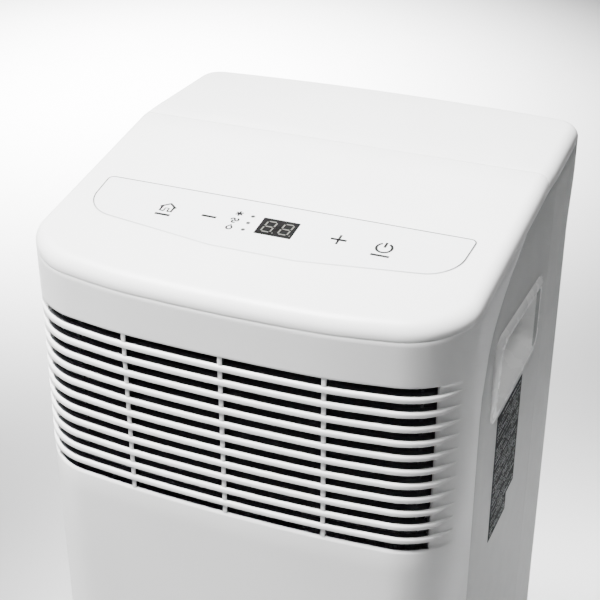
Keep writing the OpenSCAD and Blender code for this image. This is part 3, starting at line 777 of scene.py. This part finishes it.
def add_bar(points, faces, loops, capped=True):
    """Adds a bar through loops of equal length, one at each section."""
    start = len(points)
    n = len(loops[0])
    for loop in loops:
        points.extend(loop)
    for c in range(len(loops) - 1):
        for k in range(n):
            a = start + c * n
            b = (k + 1) % n
            faces.append((a + k, a + b, a + n + b, a + n + k))
    if capped:
        end = len(points) - n
        faces.append(tuple(range(start, start + n)))
        faces.append(tuple(range(end + n - 1, end - 1, -1)))


def skin_loop(x, z, corners):
    """Loop behind the front's skin at x and z, from (sideways, inset, height) of each corner."""
    loop = []
    for dx, inset, rise in corners:
        px, py = skin(*front_column(abs(x + dx)), z, inset)
        loop.append((math.copysign(px, x + dx), py, z + rise))
    return loop


def slat_sections():
    """Columns of a slat from tip to tip, each with how far its profile has shrunk."""
    right = [(front_column(x), 1.0) for x in steps(0.0, 100.0, 12)]
    right += [(front_column(x), 1.0) for x in steps(100.0, SLOT_HALF, 9)]
    for x in steps(SLOT_HALF, TIP_HALF, 8):
        share = (x - SLOT_HALF) / (TIP_HALF - SLOT_HALF)
        right.append((front_column(x), max(0.02, 1 - share**1.3)))
    left = [(-1, place, size) for place, size in reversed(right)]
    middle = [(1, (FRONT, 0.0), 1.0)]
    return left + middle + [(1, place, size) for place, size in right]


def front_slats():
    """The slats of the outlet, one moulding, with pointed tips past the ends of the slots."""
    points, faces = [], []
    for i in range(1, SLOTS):
        z0 = GRILLE_Z + i * SLOT_PITCH - SLAT_H
        loops = []
        for sign, (part, t), size in slat_sections():
            loop = []
            for inset, rise in SLAT_PROFILE:
                sunk = inset if inset > 0 else inset * size
                thinned = lerp(SLAT_H, rise, 0.25 + 0.75 * size)
                x, y = skin(part, t, z0, sunk)
                loop.append((sign * x, y, z0 + thinned))
            loops.append(loop)
        add_bar(points, faces, loops)
    obj = add_mesh("front_slats", points, faces, MAT["slat"], closed=True)
    obj.data.shade_smooth()
    obj.data.set_sharp_from_angle(angle=math.radians(40))
    return obj


def front_ribs():
    """Three upright ribs that tie the slats together, open where they meet the panel."""
    half = RIB_W / 2
    right = [(half - RIB_CHAMFER, 0.4, 0), (half, 0.75, 0), (half, 1.25, 0)]
    corners = [(-dx, inset, rise) for dx, inset, rise in reversed(right)] + right
    points, faces = [], []
    ends = (GRILLE_Z, GRILLE_Z + GRILLE_H)
    for x in RIB_X:
        add_bar(points, faces, [skin_loop(x, z, corners) for z in ends], capped=False)
    obj = add_mesh("front_ribs", points, faces, MAT["slat"], closed=True)
    bevel(obj, 0.15)
    return bake(obj)


def outlet_guard():
    """Dark guard behind the slats: one blade behind each, tied by uprights behind the ribs."""
    half = SLOT_HALF - 1
    blade = [(0, GUARD_IN, -GUARD_T), (0, GUARD_OUT, -GUARD_T), (0, GUARD_OUT, 0), (0, GUARD_IN, 0)]
    upright = [(dx, inset, 0) for dx, inset in GUARD_UPRIGHT]
    points, faces = [], []
    across = [-half] + steps(-half, half, 52)
    for i in range(1, SLOTS):
        top = GRILLE_Z + i * SLOT_PITCH - GUARD_DROP
        add_bar(points, faces, [skin_loop(x, top, blade) for x in across])
    ends = (GRILLE_Z - 1, GRILLE_Z + GRILLE_H + 1)
    for x in RIB_X:
        add_bar(points, faces, [skin_loop(x, z, upright) for z in ends])
    return add_mesh("outlet_blades", points, faces, MAT["guard"], closed=True)


def housing_shell(name, columns):
    """A stretch of the housing over those columns, not yet cut."""
    rows = shell_levels(UPPER_LEVELS)
    top = seam_top(SEAM)
    points = [shell_point(column, row, SEAM, top) for column in columns for row in rows]
    obj = add_mesh(name, points, grid_faces(len(columns), len(rows)), MAT["housing"])
    thicken(obj)
    return bake(obj)


def side_shell(sign, name):
    """Side panel from the front seam to the bend, with the opening of its handle."""
    columns = [(sign, SEAM_ZONE, t) for t in (0.0, 0.15, 0.4, 0.7, 1.0)]
    columns += [(sign, SIDE, side_t(y)) for y in (12.0, 30.0, BEND_Y - 1.2, BEND_Y - BEND_GAP)]
    if sign < 0:
        columns.reverse()
    obj = housing_shell(name, columns)
    hole = [handle_taper(*p) for p in rounded_loop(HANDLE_L - 7, HANDLE_H - 7, HANDLE_R - 3)]
    m = on_side(sign, HANDLE_Y, HANDLE_Z)
    loops = [placed(m, [(*p, h) for p in hole]) for h in (-9.0, 9.0)]
    cut(obj, [loft("cutter", loops, MAT["housing"], cap_first=True)])
    bevel(obj, 0.25)
    return bake(obj, 28.0)


# Middle (x, z) and outline of each opening in the back: filter, intake, exhaust, two drains, cord.
REAR_OPENINGS = (
    (0, 479, rounded_loop(211.6, 202.8, 2.5)),
    (0, 137, rounded_loop(211.6, 138.8, 2.5)),
    (0, 285, circle_loop(63.0)),
    (-88, 52, circle_loop(8.0, 40)),
    (96, 361, circle_loop(8.0, 40)),
    (124, 72, circle_loop(7.1, 40)),
)


def rear_shell():
    """Rear housing with its filter, intake, exhaust, drain and cord openings."""
    start = BEND_GAP / (REAR_CORNER_Y - BEND_Y)
    right = [(STRIP, start), (STRIP, 0.016)]
    right += [(STRIP, t) for t in steps(0.016, 1.0, 4)]
    right += [(REAR_CORNER, t) for t in steps(0.0, 1.0, 10)]
    right += [(REAR, t) for t in steps(0.0, 1.0, 12)]
    obj = housing_shell("rear_shell", mirrored_behind(right))
    cut(obj, [rear_cutter(*opening) for opening in REAR_OPENINGS])
    bevel(obj, 0.35)
    return bake(obj, 28.0)


def top_shell(name, plane, rings_of, columns, material):
    """Lid or cap: rings round a rounded rim, closed by a flat top."""
    n = len(columns)
    points = []
    for inset, drop in rings_of:
        for sign, part, t in columns:
            x, y = skin(part, t, TOP_Z, inset, FLARE)
            points.append((sign * x, y, plane(y) - drop))
    faces = []
    for k in range(len(rings_of) - 1):
        for i in range(n - 1):
            a = k * n + i
            faces.append((a, a + 1, a + n + 1, a + n))
    last = (len(rings_of) - 1) * n
    faces.append(tuple(range(last, last + n)))
    obj = add_mesh(name, points, faces, material)
    thicken(obj)
    bevel(obj, 0.12, 50)
    return bake(obj, 38.0)


def rim_rings():
    """Inset and drop of each ring from the foot of the skirt over the rounded rim to the top."""
    rings = [(0.0, SKIRT), (0.0, RIM_R + 0.5)]
    for i in range(13):
        a = math.radians(90 * i / 12)
        rings.append((RIM_R * (1 - math.cos(a)), RIM_R * (1 - math.sin(a))))
    return rings + [(RIM_R + 0.8, 0.0)]


def lid_shell():
    right = [(FRONT, t) for t in steps(0.0, 1.0, 10)]
    right += [(FRONT_CORNER, t) for t in steps(0.0, 1.0, 22)]
    right += [(SIDE, t) for t in steps(0.0, side_t(CREASE_Y), 6)]
    return top_shell("lid_shell", lid_z, rim_rings(), mirrored(right), MAT["lid"])


def cap_shell():
    right = [(SIDE, side_t(CREASE_Y + SEAM)), (SIDE, side_t(CREASE_Y + 8)), (SIDE, 1.0)]
    right += [(STRIP, 0.03)] + [(STRIP, t) for t in steps(0.03, 1.0, 4)]
    right += [(REAR_CORNER, t) for t in steps(0.0, 1.0, 14)]
    right += [(REAR, t) for t in steps(0.0, 1.0, 12)]
    return top_shell("cap_shell", cap_z, rim_rings(), mirrored_behind(right), MAT["lid"])


# ---------------------------------------------------------------- handles


def handle_taper(x, y):
    """Brings the top edge of the handle down towards its rear end."""
    along = x / HANDLE_L + 0.5
    up = y / HANDLE_H + 0.5
    return x, y - HANDLE_DROP * along * up


def handle_loop(width, height, r, out, lift, shift, back):
    """One loop of the handle. The lip stands out along its top and dies away at its foot and rear."""
    loop = []
    for x, y in rounded_loop(width, height, r, shift, 10):
        grow = smooth_step((y + HANDLE_H * 0.5) / (HANDLE_H * 0.55))
        fade = smooth_step((x + back - HANDLE_L * 0.40) / (HANDLE_L * 0.06))
        rise = lift * lerp(0.12, 1.0, grow) * lerp(1.0, 0.15, fade)
        loop.append((*handle_taper(x + back, y), out + rise))
    return loop


# Rings of the handle from its outer edge to its floor. Each has what is off its length, height and
# corner radius, how far out it lies, its share of the lip, and its shifts up and to the back.
HANDLE_RINGS = (
    (5.0, 5.0, 2.0, -2.6, 0.0, 0.0, 0.0),
    (0.6, 0.6, 0.0, -1.2, 0.0, 0.0, 0.0),
    (0.0, 0.0, 0.0, 0.0, 0.12, 0.0, 0.0),
    (1.8, 1.6, 1.0, 0.0, 0.42, 0.0, 0.0),
    (4.0, 3.4, 1.0, 0.0, 0.72, -0.2, 0.5),
    (7.0, 5.8, 1.0, 0.0, 0.93, -0.7, 1.6),
    (12.0, 8.6, 2.0, 0.0, 1.0, -1.3, 3.6),
    (15.4, 11.0, 3.0, -0.2, 0.80, -1.8, 4.9),
    (17.0, 12.4, 4.0, -1.4, 0.2, -2.1, 5.4),
    (19.6, 15.4, 4.0, -6.0, 0.0, -1.2, 4.9),
    (25.0, 20.4, 4.5, -14.0, 0.0, 1.4, 3.2),
    (33.0, 27.6, 4.0, 4.5 - HANDLE_DEPTH, 0.0, 4.6, 0.8),
    (40.0, 34.0, 5.0, 1.2 - HANDLE_DEPTH, 0.0, 5.4, -0.4),
    (50.0, 42.0, 7.0, -HANDLE_DEPTH, 0.0, 5.2, -1.4),
)


def handle_cup(sign, name, node):
    """Finger recess with a raised lip, wide along its front end, and a scooped floor."""
    m = on_side(sign, HANDLE_Y, HANDLE_Z)
    loops = []
    for narrow, low, tight, out, lip, shift, back in HANDLE_RINGS:
        size = (HANDLE_L - narrow, HANDLE_H - low, HANDLE_R - tight)
        loops.append(placed(m, handle_loop(*size, out, lip * HANDLE_LIP, shift, back)))
    obj = loft(name, loops, MAT["handle"])
    obj.data.shade_smooth()
    return show(obj, "handle", node)


# ---------------------------------------------------------------- controls


# Arcs of the film's right half: middle, radius and degrees of the rear corner, the bend and the nose.
FILM_ARCS = (
    (122.8, 23.9, 4.0, 360),
    (100.8, 8.7, 25.0, 180),
    (28.0, -20.8, 6.0, 360),
)


def film_outline(grow=0.0):
    """Outline of the control film on the lid: straight at the back, rounded and bowed at the front."""
    dots = []
    for sign in (-1, 1):
        for x, y, r, turn in FILM_ARCS:
            for i in range(121):
                a = -math.radians(turn * i / 120)
                dots.append((sign * x + (r + grow) * math.cos(a), y + (r + grow) * math.sin(a)))
    return [dots[i] for i in convex_hull_2d([Vector(p) for p in dots])]


def film_piece():
    """The film itself, a thin sheet with a softened edge."""
    m = on_lid(0, FILM_Y)
    edge = [Vector(p) for p in film_outline()]
    loops = []
    for inset, rise in ((0.0, -0.2), (0.0, FILM_RISE - 0.12), (0.15, FILM_RISE)):
        loops.append(placed(m, [(*(p * (1 - inset / p.length)), rise) for p in edge]))
    obj = loft("film_sheet", loops, MAT["film"])
    return show(obj, "film", "control_overlay")


def ribbon(m, path, width, rise, closed=True):
    """Flat line along a path on the lid, of ink or of painted shade: points and faces."""
    n = len(path)
    points, faces = [], []
    for i, p in enumerate(path):
        before = path[(i - 1) % n] if closed or i else p
        after = path[(i + 1) % n] if closed or i < n - 1 else p
        way = Vector((after[0] - before[0], after[1] - before[1])).normalized()
        side = Vector((-way.y, way.x)) * width / 2
        points += placed(m, [(p[0] + side.x, p[1] + side.y, rise), (p[0] - side.x, p[1] - side.y, rise)])
    for i in range(n if closed else n - 1):
        j = (i + 1) % n
        faces.append((2 * i, 2 * i + 1, 2 * j + 1, 2 * j))
    return points, faces


def film_groove_shade():
    """Thin line of painted shade along the edge of the film, standing for the groove round it."""
    path = film_outline(-0.3)
    points, faces = ribbon(on_lid(0, FILM_Y), path, 0.85, INK_RISE - 0.03)
    return show(add_mesh("film_groove_shade", points, faces, MAT["film_groove_shade"], closed=True), "film")


class Print:
    """Collects flat printed marks on a plane, to become one piece."""

    def __init__(self, matrix, rise):
        self.m = matrix
        self.rise = rise
        self.points = []
        self.faces = []

    def add(self, points, faces):
        base = len(self.points)
        self.points += points
        self.faces += [tuple(base + i for i in face) for face in faces]

    def stroke(self, path, width, closed=False):
        self.add(*ribbon(self.m, path, width, self.rise, closed))

    def shape(self, outline_points):
        flat = placed(self.m, [(x, y, self.rise) for x, y in outline_points])
        self.add(flat, [tuple(range(len(flat)))])

    def bar(self, x, y, width, height):
        corners = ((-1, -1), (1, -1), (1, 1), (-1, 1))
        self.shape([(x + sx * width / 2, y + sy * height / 2) for sx, sy in corners])

    def disc(self, x, y, r, n):
        self.shape([(x + px, y + py) for px, py in circle_loop(r, n)])

    def arc(self, x, y, r, a0, a1, width, n):
        path = []
        for i in range(n + 1):
            a = math.radians(lerp(a0, a1, i / n))
            path.append((x + r * math.cos(a), y + r * math.sin(a)))
        self.stroke(path, width)

    def piece(self, name, material, material_slot):
        obj = add_mesh(name, self.points, self.faces, material, closed=True)
        return show(obj, material_slot)


def slope_shift(behind):
    """Distance up the lid from the middle of the film of a point that far behind the front."""
    return (FRONT_Y + behind - FILM_Y) / math.cos(LID_SLOPE)


def house_sign(marks, x, y):
    """Small house: a roof, a wall and a stretch of floor on each side, and a door."""
    marks.stroke([(x - 5.4, y + 0.4), (x, y + 4.9), (x + 5.4, y + 0.4)], 1.8)
    for side in (-1, 1):
        wall = ((4.0, 1.2), (4.0, -4.0), (1.3, -4.0))
        marks.stroke([(x + side * dx, y + dy) for dx, dy in wall], 1.6)
    door = ((-1.3, -4.2), (-1.3, -0.6), (1.3, -0.6), (1.3, -4.2))
    marks.stroke([(x + dx, y + dy) for dx, dy in door], 1.15)


def control_marks():
    """Printed marks: a house, minus, plus, power sign, three mode glyphs, and plain bars for words."""
    marks = Print(on_lid(0, FILM_Y), INK_RISE)
    house_sign(marks, HOUSE_X, slope_shift(78.4))
    marks.bar(HOUSE_X, slope_shift(70.4), 10.6, 2.2)
    marks.bar(MINUS_X, slope_shift(77.2), 10.2, 2.2)
    y = slope_shift(77.6)
    marks.bar(PLUS_X, y, 10.4, 2.1)
    marks.bar(PLUS_X, y, 1.6, 10.4)
    for k, kind in enumerate(("snow", "fan", "drop")):
        mode_glyph(marks, LED_X - 9.5, slope_shift(86.0 - 7.85 * k), kind)
    marks.piece("control_marks", MAT["ink"], "film")
    soft = Print(on_lid(0, FILM_Y), INK_RISE)
    soft.arc(POWER_X, y, 4.9, 118, 422, SIGN_LINE, 40)
    soft.stroke([(POWER_X, y + 0.4), (POWER_X, y + 5.9)], SIGN_LINE)
    soft.bar(POWER_X, slope_shift(69.2), 12.0, 2.1)
    soft.piece("power_marks", MAT["ink_soft"], "film")


def mode_glyph(marks, x, y, kind):
    """Small sign beside a mode light: a snow crystal, a three-blade fan or a drop."""
    if kind == "snow":
        for k in range(3):
            a = math.radians(60 * k + 30)
            dx, dy = 2.7 * math.cos(a), 2.7 * math.sin(a)
            marks.stroke([(x - dx, y - dy), (x + dx, y + dy)], GLYPH_LINE)
    elif kind == "fan":
        marks.disc(x, y, 0.7, 12)
        for k in range(3):
            turn = 120 * k + 30
            cx = x + 1.4 * math.cos(math.radians(turn))
            cy = y + 1.4 * math.sin(math.radians(turn))
            marks.arc(cx, cy, 1.25, turn - 150, turn + 60, GLYPH_LINE, 12)
    else:
        path = []
        for k in range(25):
            a = math.radians(lerp(-240, 60, k / 24))
            path.append((x + 1.75 * math.cos(a), y - 0.7 + 1.75 * math.sin(a)))
        marks.stroke(path + [(x, y + 2.8)], GLYPH_LINE, True)


def mode_lights():
    """The three small lights, unlit, each on its own CAD piece."""
    for node, shift in (("led_dry", -1), ("led_fan", 0), ("led_cool", 1)):
        m = on_lid(LED_X, PANEL_Y + shift * LED_PITCH * math.cos(LID_SLOPE))
        loops = []
        for r, rise in ((1.0, -2.0), (1.4, 0.22), (1.2, 0.38), (0.6, 0.46)):
            loops.append(placed(m, [(*p, rise) for p in circle_loop(r, 24)]))
        obj = loft(node + "_lens", loops, MAT["led_lens"])
        obj.data.shade_smooth()
        show(obj, "led_lens", node)


# Ends of a figure's seven segments, as shares of its width and height.
SEGMENTS = (
    ((0.12, 1.0), (0.88, 1.0)),
    ((1.0, 0.94), (1.0, 0.56)),
    ((1.0, 0.44), (1.0, 0.06)),
    ((0.12, 0.0), (0.88, 0.0)),
    ((0.0, 0.44), (0.0, 0.06)),
    ((0.0, 0.94), (0.0, 0.56)),
    ((0.14, 0.5), (0.86, 0.5)),
)


def display():
    """Smoked window with two unlit figures of seven segments and a point each."""
    m = on_lid(WINDOW_X, PANEL_Y)
    loops = []
    for shrink, rise in ((0.0, -1.2), (0.0, 0.20), (0.25, 0.30)):
        loop = rounded_loop(WINDOW_W - 2 * shrink, WINDOW_D - 2 * shrink, 0.6)
        loops.append(placed(m, [(*p, rise) for p in loop]))
    show(loft("display_glass", loops, MAT["window"]), "window", "display_window")
    figures = Print(m, 0.34)
    for x in FIGURE_X:
        for segment in SEGMENTS:
            ends = []
            for u, v in segment:
                ends.append((x + u * FIGURE_W + FIGURE_LEAN * (v - 0.5), (v - 0.5) * FIGURE_H))
            figures.stroke(ends, 0.95)
        figures.disc(x + FIGURE_W + 1.5, -6.0, 0.45, 10)
    figures.piece("display_segments", MAT["segment"], "window")


def rating_label():
    """Dark label under the right handle, with plain pale dashes where words would be."""
    m = on_side(1, LABEL_Y, LABEL_Z)
    left, step_x, right = -30, 11, 28.5
    foot, step_y, top = -55, -41, 47
    edge = [(left, foot), (step_x, foot), (step_x, step_y), (right, step_y), (right, top), (left, top)]
    loops = [placed(m, [(*corner, rise) for corner in edge]) for rise in (-0.1, 0.25)]
    show(loft("label_sheet", loops, MAT["label"], cap_first=True), "label", "rating_label")
    lines = Print(m, 0.30)
    row = 0
    y = top - 3.5
    while y > foot + 2:
        x = left + 2.5
        end = right - 2.5 if y > step_y + 2 else step_x - 2
        step = 0
        while x < end - 3:
            share = 0.5 + 0.5 * math.sin(2.1 * row + 3.7 * step + 1.3 * math.sin(1.7 * row + step))
            length = min(3.0 + 9.0 * share, end - x)
            if (row * 5 + step * 3) % 7 != 0:
                lines.bar(x + length / 2, y, length, 0.5 if row % 4 else 0.85)
            x += length + 1.6
            step += 1
        y -= 2.6 if row % 6 else 4.2
        row += 1
    lines.piece("label_lines", MAT["label_line"], "label")


# ---------------------------------------------------------------- CAD pieces that stay


CAD_LOOKS = {
    "shell": ["filter_frame", "lower_intake_grille", "exhaust_collar"],
    "screw": ["housing_screws"],
    "pan": ["base_pan"],
    "tray": ["divider_tray", "lower_scroll"],
    "scroll": ["upper_scroll"],
    "mesh": ["filter_mesh"],
    "coil": ["evaporator_coil", "condenser_coil"],
    "copper": ["discharge_pipe", "suction_pipe", "capillary_tube"],
    "wheel_fan": ["upper_blower_wheel", "lower_blower_wheel"],
    "motor": ["upper_motor", "lower_motor", "splash_motor"],
    "steel": ["upper_motor_shaft", "lower_motor_shaft"],
    "compressor": ["compressor", "accumulator"],
    "rubber": ["compressor_grommets"],
    "box": ["electrical_box", "splash_wheel", "float_stem"],
    "pcb": ["control_board"],
    "capacitor": ["run_capacitor"],
    "float": ["float_ring"],
    "key": ["key_mode", "key_minus", "key_plus", "key_power"],
    "plug": ["drain_plug_lower", "drain_plug_upper", "cord_gland"],
}
SOFT_EDGED = CAD_LOOKS["shell"] + CAD_LOOKS["plug"] + CAD_LOOKS["pan"]


def smooth_nodes():
    """Small node group that shades smooth, except at edges sharper than 32 degrees."""
    group = bpy.data.node_groups.new("smooth_by_angle", "GeometryNodeTree")
    group.interface.new_socket("Geometry", in_out="INPUT", socket_type="NodeSocketGeometry")
    group.interface.new_socket("Geometry", in_out="OUTPUT", socket_type="NodeSocketGeometry")
    start = group.nodes.new("NodeGroupInput")
    end = group.nodes.new("NodeGroupOutput")
    faces = group.nodes.new("GeometryNodeSetShadeSmooth")
    faces.domain = "FACE"
    edges = group.nodes.new("GeometryNodeSetShadeSmooth")
    edges.domain = "EDGE"
    edges.inputs["Shade Smooth"].default_value = False
    angle = group.nodes.new("GeometryNodeInputMeshEdgeAngle")
    sharp = group.nodes.new("FunctionNodeCompare")
    sharp.operation = "GREATER_THAN"
    sharp.inputs["B"].default_value = math.radians(32)
    group.links.new(start.outputs[0], faces.inputs["Geometry"])
    group.links.new(faces.outputs[0], edges.inputs["Geometry"])
    group.links.new(angle.outputs["Unsigned Angle"], sharp.inputs["A"])
    group.links.new(sharp.outputs["Result"], edges.inputs["Selection"])
    group.links.new(edges.outputs[0], end.inputs[0])
    return group


def soften(obj, group, width):
    weld = obj.modifiers.new("weld", "WELD")
    weld.merge_threshold = 0.02 * MM
    bevel(obj, width, 40)
    smooth = obj.modifiers.new("smooth", "NODES")
    smooth.node_group = group


def dress(obj, material):
    obj.data.materials.clear()
    obj.data.materials.append(material)


def cad_pieces():
    """Gives the CAD pieces that stay their materials, and softens the edges of some."""
    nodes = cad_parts
    group = smooth_nodes()
    for key, names in CAD_LOOKS.items():
        for name in names:
            dress(nodes[name], MAT[key])
    for name, obj in nodes.items():
        if name.startswith("caster_fork"):
            dress(obj, MAT["fork"])
            soften(obj, group, 0.5)
        if name.startswith("caster_wheel"):
            dress(obj, MAT["tyre"])
            soften(obj, group, 0.8)
    for name in SOFT_EDGED:
        soften(nodes[name], group, 0.3)


# ---------------------------------------------------------------- studio


def area_light(name, location, target, size, power, spread):
    light = bpy.data.lights.new(name, "AREA")
    light.shape = "SQUARE"
    light.size = size
    light.energy = power
    light.spread = math.radians(spread)
    obj = bpy.data.objects.new(name, light)
    obj.location = location
    aim = Vector(target) - Vector(location)
    obj.rotation_euler = aim.to_track_quat("-Z", "Y").to_euler()
    bpy.context.scene.collection.objects.link(obj)


def floor():
    """Plain pale floor, far wider than any view of it."""
    material, tree, shader = new_material("floor_paper")
    tone = remap(tree, noise(tree, 3.0, 3.0), 0.0, 1.0)
    paper = mix_colours(tree, tone, (0.90, 0.90, 0.90), (0.87, 0.87, 0.87))
    tree.links.new(paper, shader.inputs["Base Color"])
    settle(shader, Roughness=0.9)
    add_bump(tree, shader, noise(tree, 500.0, 2.0), 0.1, 0.05)
    reach = 9000.0
    points = [(-reach, -reach, 0), (reach, -reach, 0), (reach, reach, 0), (-reach, reach, 0)]
    add_mesh("floor", points, [(0, 1, 2, 3)], material)


def studio():
    """Floor, sky and four soft lights whose narrow cones keep the right side of the cabinet dim."""
    floor()
    world = bpy.data.worlds.new("studio")
    world.use_nodes = True
    sky = world.node_tree.nodes["Background"]
    settle(sky, Color=(0.95, 0.97, 1.0, 1.0), Strength=0.12)
    bpy.context.scene.world = world
    area_light("key", (-0.50, -0.33, 1.95), (-0.06, -0.04, 0.62), 0.7, 12.5, 30)
    area_light("background", (-1.25, 1.7, 2.4), (-1.0, 1.5, 0.0), 0.8, 95, 52)
    area_light("fill", (-2.0, -2.0, 1.2), (0.0, -0.15, 0.40), 1.2, 1.5, 45)
    area_light("top_right", (0.60, -0.08, 1.9), (0.14, -0.01, 0.5), 0.35, 0.16, 20)


def camera():
    """Camera at the photograph's viewing angle."""
    azimuth = math.radians(22.63)
    elevation = math.radians(29.45)
    roll = math.radians(-0.196)
    data = bpy.data.cameras.new("camera")
    data.sensor_width = 36.0
    data.lens = 80.604
    obj = bpy.data.objects.new("camera", data)
    obj.location = (0.3063, -0.7632, 0.9875)
    ahead = Vector(
        (
            -math.sin(azimuth) * math.cos(elevation),
            math.cos(azimuth) * math.cos(elevation),
            -math.sin(elevation),
        )
    )
    turn = ahead.to_track_quat("-Z", "Y").to_matrix() @ Matrix.Rotation(roll, 3, "Z")
    obj.rotation_euler = turn.to_euler()
    bpy.context.scene.collection.objects.link(obj)
    bpy.context.scene.camera = obj


# ---------------------------------------------------------------- the scene


camera()
studio()
show(front_shell(), "shell", "front_panel")
show(front_slats(), "shell", "front_panel")
show(front_ribs(), "shell", "front_panel")
show(outlet_guard(), "guard", "outlet_guard")
show(side_shell(1, "side_right"), "shell", "side_panel_right")
show(side_shell(-1, "side_left"), "shell", "side_panel_left")
show(rear_shell(), "shell", "rear_housing")
show(lid_shell(), "lid", "control_lid")
show(cap_shell(), "lid", "rear_top_cap")
handle_cup(1, "handle_right", "handle_cup_right")
handle_cup(-1, "handle_left", "handle_cup_left")
film_piece()
film_groove_shade()
control_marks()
mode_lights()
display()
rating_label()
cad_pieces()
